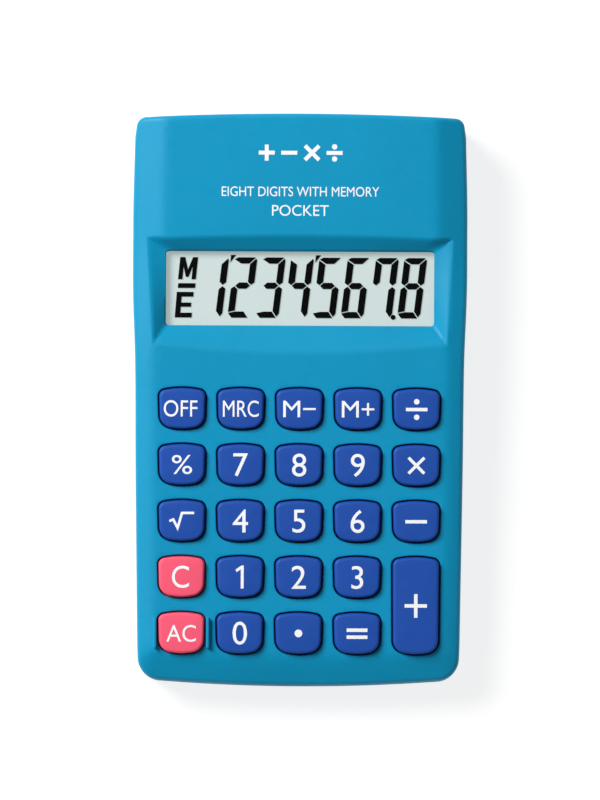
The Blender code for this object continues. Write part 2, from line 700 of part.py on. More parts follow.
def screws(face, finish):
    case_mesh = None
    for index, (x, y) in enumerate(CASE_SCREWS):
        name = f"case_screw_{index + 1}"
        seat = FLOOR - GAP
        if case_mesh is None:
            bm = screw(CASE_SCREW_SIZE, CASE_SCREW_TOP - seat, 14)
            case_mesh = body(name, bm, finish, None, (x, y, seat)).data
        else:
            place(name, case_mesh, None, None, (x, y, seat))
    board_mesh = None
    for index, (x, y) in enumerate(BOARD_SCREWS):
        name = f"board_screw_{index + 1}"
        seat = BOARD_BOTTOM - GAP
        if board_mesh is None:
            bm = screw(BOARD_SCREW_SIZE, BOARD_SCREW_LENGTH, 12)
            board_mesh = body(name, bm, finish, face, (x, y, seat)).data
        else:
            place(name, board_mesh, None, face, (x, y, seat))


def main():
    clear_scene()
    face = bpy.data.objects.new("face_plane", None)
    bpy.context.collection.objects.link(face)
    face.location = (0.0, 0.0, FACE_HEIGHT * METRES)
    face.rotation_euler = (FACE_SLOPE, 0.0, 0.0)
    finishes = {
        "case": material("case_blue", (0.004, 0.27, 0.50), 0.42),
        "key_blue": material("key_blue", (0.013, 0.045, 0.36), 0.35),
        "key_red": material("key_red", (0.85, 0.085, 0.16), 0.35),
        "clear": material("clear_plastic", (0.9, 0.95, 0.95), 0.05, 0.0, 0.3),
        "film": material("polarizer_film", (0.62, 0.68, 0.66), 0.2, 0.0, 0.5),
        "glass": material("display_glass", (0.7, 0.78, 0.76), 0.05, 0.0, 0.4),
        "reflector": material("reflector_foil", (0.66, 0.77, 0.76), 0.5),
        "holder": material("holder_plastic", (0.7, 0.7, 0.68), 0.5),
        "ribbon": material("ribbon_film", (0.3, 0.22, 0.1), 0.4),
        "mat": material("silicone", (0.5, 0.5, 0.5), 0.7),
        "board": material("board_green", (0.03, 0.2, 0.08), 0.45),
        "epoxy": material("epoxy_black", (0.01, 0.01, 0.01), 0.3),
        "can": material("capacitor_sleeve", (0.02, 0.03, 0.09), 0.35),
        "bead": material("resistor_lacquer", (0.5, 0.36, 0.2), 0.4),
        "cell": material("cell_sleeve", (0.05, 0.06, 0.07), 0.35, 0.4),
        "contact": material("nickel_plate", (0.7, 0.68, 0.62), 0.3, 1.0),
        "wire_red": material("wire_red_sleeve", (0.6, 0.02, 0.02), 0.45),
        "wire_black": material("wire_black_sleeve", (0.02, 0.02, 0.02), 0.45),
        "screw": material("screw_steel", (0.55, 0.55, 0.56), 0.35, 1.0),
    }
    front_case(face, finishes["case"])
    rear_case(finishes["case"])
    battery_cover(finishes["case"])
    display(face, finishes)
    keys(face, finishes)
    key_mat(face, finishes["mat"])
    circuit_board(face, finishes)
    battery(finishes)
    screws(face, finishes["screw"])


main()
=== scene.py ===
"""The looks of the pocket calculator: case, keys, printing, display, screws and cell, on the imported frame."""
import json
import math

import bmesh
import bpy
from mathutils import Matrix, Vector


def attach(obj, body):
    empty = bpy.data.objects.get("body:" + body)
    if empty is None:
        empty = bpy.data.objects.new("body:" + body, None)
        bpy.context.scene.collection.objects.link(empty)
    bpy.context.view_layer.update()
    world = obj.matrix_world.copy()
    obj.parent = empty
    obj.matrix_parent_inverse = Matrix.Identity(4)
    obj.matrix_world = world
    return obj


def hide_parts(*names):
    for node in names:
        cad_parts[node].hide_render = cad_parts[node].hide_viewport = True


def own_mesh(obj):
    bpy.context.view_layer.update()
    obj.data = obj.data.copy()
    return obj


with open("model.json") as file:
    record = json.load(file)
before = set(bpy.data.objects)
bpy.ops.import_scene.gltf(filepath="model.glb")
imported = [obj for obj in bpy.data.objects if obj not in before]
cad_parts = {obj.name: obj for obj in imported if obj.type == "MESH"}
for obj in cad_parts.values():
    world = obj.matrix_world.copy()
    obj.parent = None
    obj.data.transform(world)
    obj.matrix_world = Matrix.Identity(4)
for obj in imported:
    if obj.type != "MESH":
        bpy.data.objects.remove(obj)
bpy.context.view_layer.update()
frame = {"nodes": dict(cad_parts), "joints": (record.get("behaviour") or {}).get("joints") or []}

# Shapes are drawn in millimetres and made metres when they become objects.
METRES = 0.001
PRESS = Vector(frame["joints"][0]["axis"])          # the way a key travels, straight into the face
SLOPE = math.atan2(PRESS.y, -PRESS.z)
FACE_HEIGHT = 15.16                                 # face above the back, half way along
FACE = Matrix.Translation((0, 0, FACE_HEIGHT)) @ Matrix.Rotation(SLOPE, 4, "X")
GAP = 0.3                                           # clearance between parts

# Case
LENGTH = 118.0
# Half widths along the sides
SIDE_STATIONS = ((-50.0, 33.3), (-14.0, 33.8), (8.0, 34.0), (22.0, 34.5), (38.0, 34.55), (54.0, 34.2))
WIDEST = max(half_width for y, half_width in SIDE_STATIONS)
TOP_HALF_WIDTH = 33.9
BOTTOM_HALF_WIDTH = 33.2
TOP_CORNER = 2.0
BOTTOM_CORNER = 4.7
TOP_SAGITTA = 0.93              # how far each end bows outwards
BOTTOM_SAGITTA = 1.45
FACE_EDGE = 0.9                 # rounding between face and side
PARTING = 6.6                   # height of the line between front and rear case
SHELL = 1.2                     # thicknesses of the face, the sides and the back
WALL = 1.5
FLOOR = 1.6
BACK_EDGE_WIDTH = 1.4           # rounding between back and side
BACK_EDGE_HEIGHT = 2.6
GROOVE_DEPTH = 1.5              # groove in the front case that takes the rear case's lip
GROOVE_WIDTH = 0.85

# Face relief
SIDE_FALL = 0.4                 # slope of the face between its crease and the side
WIDE_BAND = 6.0                 # crease to side, above the display
NARROW_BAND = 3.2               # the same beside the keys
END_FALL = 0.42                 # slope below the crease across the lower end
END_BAND = 5.6
WIDENING = (4.0, 34.0)          # where the side band goes from narrow to wide
CREASE_BLEND = 0.7
HEAD_DROP = 0.1                 # fall of the face at its upper end, from where it starts
HEAD_START = 36.0

# Display
RECESS_TOP = ((31.7, 33.4), 0.95)       # right corner and bulge of each edge
RECESS_BOTTOM = ((30.5, 11.0), 2.1)
RECESS_DEPTH = 2.0              # foot of the slopes, and of the upright edge below them
BEZEL_DEPTH = 2.4
WINDOW_CENTRE = 22.9
WINDOW_HALF = (27.7, 7.65)
WINDOW_CORNER = 0.5
WINDOW_CHAMFER = 0.16           # how far the window opening narrows on its way in
RECESS_SOFTNESS = 0.3           # share of the slope that is rounded over at its outer edge

# Keys
KEY_WIDTH = 9.6
KEY_HEIGHT = 8.5
KEY_TAPER = 0.12
KEY_TOP_CROWN = 0.35
KEY_BOTTOM_CROWN = 0.2
KEY_TOP_CORNER = 1.4
KEY_BOTTOM_CORNER = 2.7
KEY_PROUD = 1.3                 # how far a key stands up from the face
KEY_DRAFT = 0.1                 # how far a key's side leans in by its top edge
KEY_BEVEL = 0.5
KEY_DOME = 0.1                  # how far the keytop domes up in its middle
FLANGE = 0.45                   # foot that keeps the key in its opening
FLANGE_TOP = -1.8
FLANGE_BOTTOM = -2.6
LIP = 0.16                      # rounding at the mouth of each key opening
GUARD_SIZE = (0.7, 6.4, 1.1)    # ridges beside the all-clear key: width, length and height
GUARD_ROOT = -0.8
GUARD_ROUNDING = 0.25
GUARD_OFFSET = KEY_WIDTH / 2 + GAP + GUARD_SIZE[0] / 2
RED_KEYS = ("key_clear", "key_all_clear")

# Printing: lettering as (text, height, width, centre), where a width of None keeps the letters' own
PRINT_LIFT = 0.012
PRINT_THICKNESS = 0.02
WORDS = {f"key_{digit}": (str(digit), 4.75) for digit in (0, 2, 3, 4, 5, 6, 7, 8, 9)}
WORDS.update({"key_off": ("OFF", 3.4, 6.95, (-0.35, 0.0)), "key_mrc": ("MRC", 3.4, 7.4),
              "key_m_minus": ("M", 3.4, 3.5, (-1.6, 0.0)), "key_m_plus": ("M", 3.4, 3.5, (-1.6, 0.0)),
              "key_percent": ("%", 3.95, 4.2), "key_clear": ("C", 4.6, 3.55, (-0.2, 0.0)),
              "key_all_clear": ("AC", 3.5, 6.1, (0.0, -0.1))})
FIGURE_ONE = ((0.14, -2.37), (0.74, -2.37), (0.74, 2.37), (0.24, 2.37), (-0.96, 1.5), (-0.7, 1.02),
              (0.14, 1.6))
ROOT_LINE = ((-2.55, -0.1), (-1.75, 0.25), (-0.85, -1.5), (0.05, 1.6), (2.55, 1.6))
SIGN_PLACE = 50.9               # along the face
SIGN_SIZE = 3.3
SIGN_STROKE = 0.8
FACE_WORDS = (("EIGHT DIGITS WITH MEMORY", 2.0, 32.5, (0.0, 42.9)), ("POCKET", 2.25, 11.7, (0.0, 39.0)))

# Digits on the display, measured from the middle of the window
DIGIT_WIDTH = 4.95
DIGIT_PITCH = 5.85
LAST_DIGIT = 23.15
DIGIT_SLANT = 0.12
DIGIT_LEVELS = (6.55, 0.6, -6.15)       # top, middle and bottom
UPRIGHT_BAR = 1.6
LEVEL_BAR = 1.5
BAR_GAP = 0.2
DIGIT_LAYER = (-3.42, -3.52)
LIT_BARS = ("bc", "abged", "abgcd", "fgbc", "afgcd", "afgecd", "fabc", "abcdefg")
POINT = (0.52, (19.26, -5.81))          # radius and place
TICK = ((-14.3, 6.94), (-14.46, 5.35), (-13.2, 6.94))
LETTER_M = (3.7, 4.6, 0.92, 1.05)       # width, height and widths of a leg and of a slanting stroke
LETTER_E = (3.5, 5.3, 1.1, 1.0, 0.45)   # width, height, upright, arms and half of the middle arm

# Inside
LIP_HEIGHT = 1.2
LIP_THICKNESS = 0.55
CASE_SCREWS = ((-29.5, 36.6), (29.5, 36.6), (-29.0, -54.2), (29.0, -54.2))
CASE_BOSS = 2.1
CASE_SCREW_TOP = 9.4
SCREW_WELL = (2.1, 1.9, 1.15)   # radii at the mouth, round the head and round the shank
SCREW_HEAD = 1.55
SCREW_SHANK = 0.62
THREAD_RISE = 0.22
THREAD_PITCH = 0.35
BOARD_SCREWS = ((-18.12, -7.73), (18.12, -7.73), (-6.04, -42.43), (6.04, -42.43))
BOARD_BOSS = 1.5
RIB = (39.2, 40.1)              # wall beside the cell: where it begins and ends along the case
RIB_END = 54.0
RIB_THICKNESS = 0.9
RIB_HALF_WIDTH = 29.6
RIB_TOP = 12.0
WIRE_NOTCH = 26.3
COVER_START = 40.7
COVER_THICKNESS = 1.6
COVER_LEDGE = 0.7
COVER_HALF_WIDTH = 26.4
COVER_WING = 1.3
GRIP = (11.0, 43.6, 50.4, 3.2)  # thumb grip: half width, ends and corner
GRIP_RIBS = (44.6, 1.2, 5)      # first rib, pitch and count
ARROW = ((-2.4, 52.6), (2.4, 52.6), (0.0, 55.4))
MAT_TOP = -4.4
MAT_THICKNESS = 0.8
MAT_HALF_WIDTH = 30.2
MAT_ENDS = (-52.6, 4.6)
CELL_RADIUS = 7.1
CELL_AXIS = (48.3, 9.0)
CELL_ENDS = (-22.8, 26.2)
NUB_RADIUS = 2.75
NUB_LENGTH = 1.5
CONTACT_PLANE = 28.0
SPRING_WIRE = 0.35
SPRING_TURNS = 3.5
SPRING_RADII = (4.2, 2.8)       # at the contact plate and at the cell
DOME = ((3.1, 0.05), (2.9, 0.2), (2.3, 1.1), (2.1, 1.4), (1.9, 1.5))    # radii and heights on the mat

# Stage
FLOOR_GREYS = (0.25, 0.27)
FLOOR_GLOW = 0.81
LIGHTS = (("key_light", (-0.66, 0.5, 0.78), 0.6, 17.5), ("fill_light", (0.7, -0.5, 0.9), 0.9, 0.4))
SKY_LIGHT = 0.2                 # the background as a light, and as the eye sees it
SKY_SEEN = 0.95
VIEW_DISTANCE = 1500.0
VIEW_HEIGHT = 164.4737          # how much of the stage the picture shows, from top to bottom
VIEW_CENTRE = (0.1, -0.1)
VIEW_ROLL = 0.27


# Small tools

def smoothstep(low, high, value):
    """Goes from 0 at low to 1 at high, level at both."""
    share = min(max((value - low) / (high - low), 0.0), 1.0)
    return share * share * (3 - 2 * share)


def soft_ramp(value, blend):
    """Zero below 0 and value above it, rounded over the blend length."""
    return (value + math.sqrt(value * value + blend * blend)) / 2


def show(bm, name):
    """Makes a bmesh an object in the scene. The bmesh is used up."""
    mesh = bpy.data.meshes.new(name)
    bm.to_mesh(mesh)
    bm.free()
    item = bpy.data.objects.new(name, mesh)
    bpy.context.scene.collection.objects.link(item)
    return item


def evaluated_mesh(item):
    return item.evaluated_get(bpy.context.evaluated_depsgraph_get()).to_mesh()


def finish_piece(name, bm, material, body, replaces, sharp, place=None):
    """Turns a bmesh in millimetres into a piece that rides on a body."""
    if place is not None:
        bmesh.ops.transform(bm, matrix=place, verts=bm.verts)
    bmesh.ops.scale(bm, verts=bm.verts, vec=(METRES, METRES, METRES))
    piece = show(bm, name)
    piece.data.shade_smooth()
    piece.data.set_sharp_from_angle(angle=math.radians(sharp))
    piece.data.materials.append(material)
    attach(piece, body)
    if replaces:
        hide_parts(*replaces)
    return piece


def closed(bm):
    """Turns every face of a closed body outwards."""
    bmesh.ops.recalc_face_normals(bm, faces=bm.faces)
    return bm


def lofts(bodies):
    """Bodies in one bmesh, each through rings of matching points, extruded from one to the next."""
    bm = bmesh.new()
    for rings in bodies:
        base = top = bm.faces.new([bm.verts.new(point) for point in rings[0]])
        for ring in rings[1:]:
            made = bmesh.ops.extrude_face_region(bm, geom=[top])
            if top is not base:
                bm.faces.remove(top)
            top = next(item for item in made["geom"] if isinstance(item, bmesh.types.BMFace))
            for vert, point in zip(top.verts, ring):
                vert.co = point
    return closed(bm)


def loft(*rings):
    return lofts((rings,))


def level(outline, height):
    return [(x, y, height) for x, y in outline]


def turned(profile, steps):
    """A body of revolution about Z from (radius, height) points that start and end on the axis."""
    bm = bmesh.new()
    verts = [bm.verts.new((radius, 0.0, height)) for radius, height in profile]
    edges = [bm.edges.new(pair) for pair in zip(verts, verts[1:])]
    return spun(bm, verts + edges, steps)


def spun(bm, geometry, steps):
    """Turns a line or a face once round Z into a closed body."""
    bmesh.ops.spin(bm, geom=geometry, cent=(0, 0, 0), axis=(0, 0, 1), angle=math.tau, steps=steps,
                   use_merge=True)
    flat = [face for face in bm.faces if len(face.verts) > 4]
    bmesh.ops.delete(bm, geom=flat, context="FACES_ONLY")
    bmesh.ops.remove_doubles(bm, verts=bm.verts, dist=0.001)
    return closed(bm)


def boolean(bm, cutter, operation="DIFFERENCE"):
    """The exact result of one body with another, as a new bmesh. Both arguments are used up."""
    first, second = (show(part, "work") for part in (bm, cutter))
    modifier = first.modifiers.new("cut", "BOOLEAN")
    modifier.object = second
    modifier.operation = operation
    modifier.solver = "EXACT"
    result = bmesh.new()
    result.from_mesh(evaluated_mesh(first))
    for item in (first, second):
        mesh = item.data
        bpy.data.objects.remove(item)
        bpy.data.meshes.remove(mesh)
    return result


def extent(points):
    """The lowest and the highest corner, in plan, of the box round some points."""
    xs, ys = zip(*((point.x, point.y) for point in points))
    return Vector((min(xs), min(ys), 0)), Vector((max(xs), max(ys), 0))


def turn_faces(bm, side):
    """Turns the faces of a flat sheet up, for a side of 1, or down, for -1."""
    for face in bm.faces:
        face.normal_update()
        if face.normal.z * side < 0:
            face.normal_flip()


def quarter_round(steps, first=0):
    """A quarter round from 0 to 1, as shares (1 - cos, 1 - sin) at each step."""
    angles = [math.pi / 2 * step / steps for step in range(first, steps + 1)]
    return [(1 - math.cos(angle), 1 - math.sin(angle)) for angle in angles]


def grid_cuts(bm, low, high, step):
    """Cuts every face along a grid, so that the sheet can follow a curved surface."""
    for axis, normal in enumerate(((1, 0, 0), (0, 1, 0))):
        count = int((high[axis] - low[axis]) / step)
        for index in range(1, count + 1):
            at = [0.0, 0.0, 0.0]
            at[axis] = low[axis] + (high[axis] - low[axis]) * index / (count + 1)
            geometry = bm.verts[:] + bm.edges[:] + bm.faces[:]
            bmesh.ops.bisect_plane(bm, geom=geometry, dist=0.0005, plane_co=at, plane_no=normal)


# Outlines, anticlockwise in plan

def arc(centre, radius, start, end, segments):
    points = []
    for index in range(segments + 1):
        angle = math.radians(start + (end - start) * index / segments)
        points.append((centre[0] + radius * math.cos(angle), centre[1] + radius * math.sin(angle)))
    return points


def mirrored(right_half):
    left_half = [(-x, y) for x, y in reversed(right_half) if x > 0.001]
    return right_half + left_half


def half_width_at(y):
    """Half width of the case, smooth between its stations."""
    if y <= SIDE_STATIONS[0][0]:
        return SIDE_STATIONS[0][1]
    if y >= SIDE_STATIONS[-1][0]:
        return SIDE_STATIONS[-1][1]
    index = next(i for i in range(1, len(SIDE_STATIONS)) if y <= SIDE_STATIONS[i][0])
    (before_y, before), (after_y, after) = SIDE_STATIONS[index - 1], SIDE_STATIONS[index]

    def grade(at):
        low = SIDE_STATIONS[max(at - 1, 0)]
        high = SIDE_STATIONS[min(at + 1, len(SIDE_STATIONS) - 1)]
        return (high[1] - low[1]) / (high[0] - low[0])

    span = after_y - before_y
    t = (y - before_y) / span
    start, end = grade(index - 1) * span, grade(index) * span
    smooth = ((2 * t ** 3 - 3 * t ** 2 + 1) * before + (t ** 3 - 2 * t ** 2 + t) * start
              + (3 * t ** 2 - 2 * t ** 3) * after + (t ** 3 - t ** 2) * end)
    return min(smooth, WIDEST)


def case_outline(inset=0.0, side_steps=44, corner_steps=10, end_steps=12):
    end = LENGTH / 2 - inset
    bottom_corner = max(BOTTOM_CORNER - inset, 0.6)
    top_corner = max(TOP_CORNER - inset, 0.6)
    bottom_x = BOTTOM_HALF_WIDTH - inset - bottom_corner
    top_x = TOP_HALF_WIDTH - inset - top_corner

    def lower_end(x):
        return BOTTOM_SAGITTA * (x / BOTTOM_HALF_WIDTH) ** 2 - end

    def upper_end(x):
        return end - TOP_SAGITTA * (x / TOP_HALF_WIDTH) ** 2

    low_y, high_y = SIDE_STATIONS[0][0], SIDE_STATIONS[-1][0]
    half = [(bottom_x * step / end_steps, lower_end(bottom_x * step / end_steps))
            for step in range(end_steps)]
    half += arc((bottom_x, lower_end(bottom_x) + bottom_corner), bottom_corner, -90, 0, corner_steps)
    for step in range(side_steps + 1):
        y = low_y + (high_y - low_y) * step / side_steps
        half.append((half_width_at(y) - inset, y))
    half += arc((top_x, upper_end(top_x) - top_corner), top_corner, 0, 90, corner_steps)
    half += [(top_x * step / end_steps, upper_end(top_x * step / end_steps))
             for step in range(end_steps - 1, -1, -1)]
    return mirrored(half)


def key_outline(height=KEY_HEIGHT, grow=0.0, corner_steps=8, edge_steps=4):
    half_width = KEY_WIDTH / 2 + grow
    half_height = height / 2 + grow
    top_corner = max(KEY_TOP_CORNER + grow, 0.5)
    bottom_corner = max(KEY_BOTTOM_CORNER + grow, 0.8)
    bottom_x = half_width - KEY_TAPER - bottom_corner
    top_x = half_width - top_corner
    bottom_y = -half_height + KEY_BOTTOM_CROWN + bottom_corner
    top_y = half_height - KEY_TOP_CROWN - top_corner
    bottom_start = arc((bottom_x, bottom_y), bottom_corner, -84, -84, 1)[0]
    top_end = arc((top_x, top_y), top_corner, 78, 78, 1)[0]
    half = []
    for step in range(edge_steps):
        share = step / edge_steps
        half.append((bottom_start[0] * share, -half_height + (bottom_start[1] + half_height) * share ** 2))
    half += arc((bottom_x, bottom_y), bottom_corner, -84, 0, corner_steps)
    half += arc((top_x, top_y), top_corner, 0, 78, corner_steps)
    for step in range(edge_steps - 1, -1, -1):
        share = step / edge_steps
        half.append((top_end[0] * share, half_height - (half_height - top_end[1]) * share ** 2))
    return mirrored(half)


def rounded_rectangle(half_width, low, high, corner, segments=8):
    half = [(0.0, low)]
    half += arc((half_width - corner, low + corner), corner, -90, 0, segments)
    half += arc((half_width - corner, high - corner), corner, 0, 90, segments)
    half += [(0.0, high)]
    return mirrored(half)


def bulging_frame(top, bottom, steps=16):
    """An outline whose upper and lower edges bow outwards by their bulge."""
    (top_x, top_y), top_bulge = top
    (bottom_x, bottom_y), bottom_bulge = bottom
    shares = [step / steps for step in range(steps + 1)]
    half = [(bottom_x * share, bottom_y - bottom_bulge * (1 - share ** 2)) for share in shares]
    half += [(top_x * share, top_y + top_bulge * (1 - share ** 2)) for share in shares[::-1]]
    return mirrored(half)


def guard_outline(centre, inset=0.0):
    radius = GUARD_SIZE[0] / 2 - inset
    reach = GUARD_SIZE[1] / 2 - GUARD_SIZE[0] / 2
    x, y = centre
    return arc((x, y - reach), radius, 180, 360, 8) + arc((x, y + reach), radius, 0, 180, 8)


def bar(width, height, centre=(0.0, 0.0)):
    x, y = centre
    return ((x - width / 2, y - height / 2), (x + width / 2, y - height / 2),
            (x + width / 2, y + height / 2), (x - width / 2, y + height / 2))


def disc(radius, centre=(0.0, 0.0)):
    return arc(centre, radius, 0, 345, 23)


def cross(width, height, thickness, turn=0.0, centre=(0.0, 0.0)):
    half, reach, rise = thickness / 2, width / 2, height / 2
    corners = ((half, -rise), (half, -half), (reach, -half), (reach, half), (half, half), (half, rise),
               (-half, rise), (-half, half), (-reach, half), (-reach, -half), (-half, -half), (-half, -rise))
    cos, sin = math.cos(math.radians(turn)), math.sin(math.radians(turn))
    return [(centre[0] + x * cos - y * sin, centre[1] + x * sin + y * cos) for x, y in corners]


def stroke(points, width):
    """The outline of a line of one width through some points, with mitred corners."""
    left, right = [], []
    vectors = [Vector(point) for point in points]
    for index, point in enumerate(vectors):
        before = (point - vectors[index - 1]).normalized() if index else None
        after = (vectors[index + 1] - point).normalized() if index + 1 < len(vectors) else None
        sides = [Vector((-way.y, way.x)) for way in (before, after) if way is not None]
        side = sum(sides, Vector((0, 0))).normalized()
        reach = width / 2 / side.dot(sides[0])
        left.append(tuple(point + side * reach))
        right.append(tuple(point - side * reach))
    return right + left[::-1]


def face_relief(x, y):
    """Height of the face above its flat plane: it falls away to the sides and ends."""
    band = NARROW_BAND + (WIDE_BAND - NARROW_BAND) * smoothstep(*WIDENING, y)
    from_side = half_width_at(y) - abs(x)
    side_fall = SIDE_FALL * soft_ramp(band - from_side, CREASE_BLEND)
    from_end = y + LENGTH / 2 - BOTTOM_SAGITTA * (x / BOTTOM_HALF_WIDTH) ** 2
    end_fall = END_FALL * soft_ramp(END_BAND - from_end, 2 * CREASE_BLEND)
    head_fall = HEAD_DROP * max((y - HEAD_START) / (LENGTH / 2 - HEAD_START), 0.0) ** 2
    return -math.hypot(side_fall, end_fall) - head_fall


# Where the keys are

def key_places():
    """Centre on the face and height of every key, read from the frame."""
    places = {}
    to_face = FACE.inverted()
    for name in frame["nodes"]:
        if not name.startswith("key_") or name == "key_mat":
            continue
        low, high = extent([to_face @ (vert.co / METRES) for vert in frame["nodes"][name].data.vertices])
        places[name] = ((low.x + high.x) / 2, (low.y + high.y) / 2, high.y - low.y - 2 * FLANGE)
    return places


KEYS = key_places()
GUARDS = [(KEYS["key_all_clear"][0] + side * GUARD_OFFSET, KEYS["key_all_clear"][1]) for side in (-1, 1)]


# Finishes

def new_finish(name):
    material = bpy.data.materials.new(name)
    material.use_nodes = True
    tree = material.node_tree
    return material, tree, tree.nodes["Principled BSDF"]


def feed(tree, node, **inputs):
    """Sets inputs of a node, each to a value or to another node's output."""
    for name, value in inputs.items():
        socket = node.inputs[name.replace("_", " ")]
        if hasattr(value, "node"):
            tree.links.new(value, socket)
        else:
            socket.default_value = value


def add_node(tree, kind, **inputs):
    node = tree.nodes.new("ShaderNode" + kind)
    feed(tree, node, **inputs)
    return node


def object_place(tree):
    return add_node(tree, "TexCoord").outputs["Object"]


def object_noise(tree, grain, detail=3.0, stretch=(1.0, 1.0, 1.0)):
    """Noise whose features are about one grain long, in millimetres."""
    place = add_node(tree, "Mapping", Vector=object_place(tree), Scale=stretch).outputs["Vector"]
    noise = add_node(tree, "TexNoise", Vector=place, Scale=1.0 / (grain * METRES), Detail=detail)
    return noise.outputs["Fac"]


def spread(tree, source, low, high, from_low=0.3, from_high=0.7):
    """Stretches a noise to a range of values."""
    return add_node(tree, "MapRange", Value=source, From_Min=from_low, From_Max=from_high,
                    To_Min=low, To_Max=high).outputs["Result"]


def blend_colours(tree, share, first, second):
    """Mixes two colours, each a triple or a socket."""
    node = tree.nodes.new("ShaderNodeMix")
    node.data_type = "RGBA"
    first, second = (colour if hasattr(colour, "node") else (*colour, 1.0) for colour in (first, second))
    feed(tree, node, Factor=share, A=first, B=second)
    return node.outputs["Result"]


def bump(tree, shader, source, distance, strength=1.0, below=None):
    """Fine relief on a shader, on top of the one below if there is one."""
    node = add_node(tree, "Bump", Height=source, Distance=distance * METRES, Strength=strength)
    if below is not None:
        feed(tree, node, Normal=below)
    feed(tree, shader, Normal=node.outputs["Normal"])
    return node.outputs["Normal"]


def worn_edges(tree):
    """How much a spot stands out as an edge, from 0 to 1."""
    return spread(tree, add_node(tree, "NewGeometry").outputs["Pointiness"], 0.0, 1.0, 0.52, 0.6)


def scaled(colour, factor):
    return tuple(min(channel * factor, 1.0) for channel in colour)


def moulded_plastic(name, colour, roughness, grain=0.16, depth=0.006, specular=0.4, edge=None):
    """Injection-moulded plastic: fine spark-eroded grain, faint flow mottling and, if given, lighter edges that
    are partly rubbed wear and partly a painted highlight.
    """
    material, tree, shader = new_finish(name)
    flow = spread(tree, object_noise(tree, 16.0, 2.0, (1.0, 0.45, 1.0)), 0.0, 1.0)
    body = blend_colours(tree, flow, scaled(colour, 0.97), scaled(colour, 1.03))
    speck = spread(tree, object_noise(tree, 0.5, 4.0), 0.0, 0.35, 0.45, 0.75)
    body = blend_colours(tree, speck, body, scaled(colour, 1.06))
    # Edges lightened where they stand out: partly rubbed wear, partly a painted highlight along the rims.
    if edge:
        rubbed_and_highlit = add_node(tree, "Math")
        rubbed_and_highlit.operation = "MULTIPLY"
        tree.links.new(worn_edges(tree), rubbed_and_highlit.inputs[0])
        tree.links.new(spread(tree, object_noise(tree, 3.0, 4.0), 0.1, 0.6), rubbed_and_highlit.inputs[1])
        body = blend_colours(tree, rubbed_and_highlit.outputs[0], body, scaled(colour, edge))
    polish = spread(tree, object_noise(tree, 2.2, 5.0), roughness - 0.05, roughness + 0.06)
    feed(tree, shader, Base_Color=body, Roughness=polish, Specular_IOR_Level=specular)
    wave = bump(tree, shader, object_noise(tree, 7.0, 1.0), 0.01, 0.6)
    bump(tree, shader, object_noise(tree, grain, 2.0), depth, 0.9, wave)
    return material


def printed_ink(name, colour, roughness=0.5, specular=0.5):
    """Pad-printed ink: slightly uneven cover with a dry, fine surface."""
    material, tree, shader = new_finish(name)
    cover = spread(tree, object_noise(tree, 0.35, 4.0), 0.0, 1.0)
    feed(tree, shader, Base_Color=blend_colours(tree, cover, scaled(colour, 0.93), colour),
         Roughness=spread(tree, cover, roughness - 0.08, roughness + 0.08, 0.0, 1.0),
         Specular_IOR_Level=specular)
    bump(tree, shader, object_noise(tree, 0.12, 2.0), 0.003, 0.8)
    return material


def clear_sheet(name, tint, alpha, roughness=0.06, specular=0.5, painted_glow=0.0):
    """A sheet with faint smears and a gloss of its own; a glow is painted light, an emission that lifts the
    shade falling on the sheet.
    """
    material, tree, shader = new_finish(name)
    smear = spread(tree, object_noise(tree, 9.0, 4.0, (1.0, 2.5, 1.0)), 0.0, 1.0)
    feed(tree, shader, Base_Color=blend_colours(tree, smear, scaled(tint, 0.95), tint),
         Roughness=spread(tree, smear, roughness, roughness + 0.07, 0.0, 1.0), Alpha=alpha,
         Specular_IOR_Level=specular, Emission_Color=(0.84, 1.0, 0.98, 1.0), Emission_Strength=painted_glow)
    bump(tree, shader, object_noise(tree, 5.0, 2.0), 0.002, 0.5)
    return material


def bare_metal(name, colour, roughness, streak=(1.0, 1.0, 14.0)):
    """Plated or drawn metal with fine streaks and dull spots."""
    material, tree, shader = new_finish(name)
    streaks = object_noise(tree, 1.2, 5.0, streak)
    dull = spread(tree, object_noise(tree, 2.5, 4.0), 0.0, 1.0)
    feed(tree, shader, Base_Color=blend_colours(tree, dull, colour, scaled(colour, 0.72)),
         Roughness=spread(tree, streaks, roughness - 0.1, roughness + 0.16), Metallic=1.0)
    bump(tree, shader, streaks, 0.004, 0.7)
    return material


def soft_rubber(name, colour, roughness=0.75):
    """Rubber or resin with a dull, slightly dusty surface."""
    material, tree, shader = new_finish(name)
    dust = spread(tree, object_noise(tree, 1.6, 5.0), 0.0, 1.0, 0.4, 0.75)
    feed(tree, shader, Base_Color=blend_colours(tree, dust, colour, scaled(colour, 1.18)),
         Roughness=spread(tree, dust, roughness - 0.08, roughness + 0.1, 0.0, 1.0))
    bump(tree, shader, object_noise(tree, 0.3, 3.0), 0.01, 0.8)
    return material


def circuit_lacquer(name):
    """Solder mask over copper tracks, with a few bare pads."""
    material, tree, shader = new_finish(name)
    place = object_place(tree)
    tracks = add_node(tree, "TexBrick", Vector=place, Scale=260.0, Mortar_Size=0.035,
                      Color1=(0.012, 0.16, 0.055, 1.0), Color2=(0.016, 0.19, 0.065, 1.0),
                      Mortar=(0.05, 0.33, 0.11, 1.0))
    cells = add_node(tree, "TexVoronoi", Vector=place, Scale=240.0)
    pads = spread(tree, cells.outputs["Distance"], 1.0, 0.0, 0.1, 0.13)
    feed(tree, shader, Base_Color=blend_colours(tree, pads, tracks.outputs["Color"], (0.55, 0.36, 0.12)),
         Roughness=spread(tree, object_noise(tree, 1.5, 3.0), 0.25, 0.45))
    bump(tree, shader, tracks.outputs["Fac"], 0.02, 0.6)
    return material


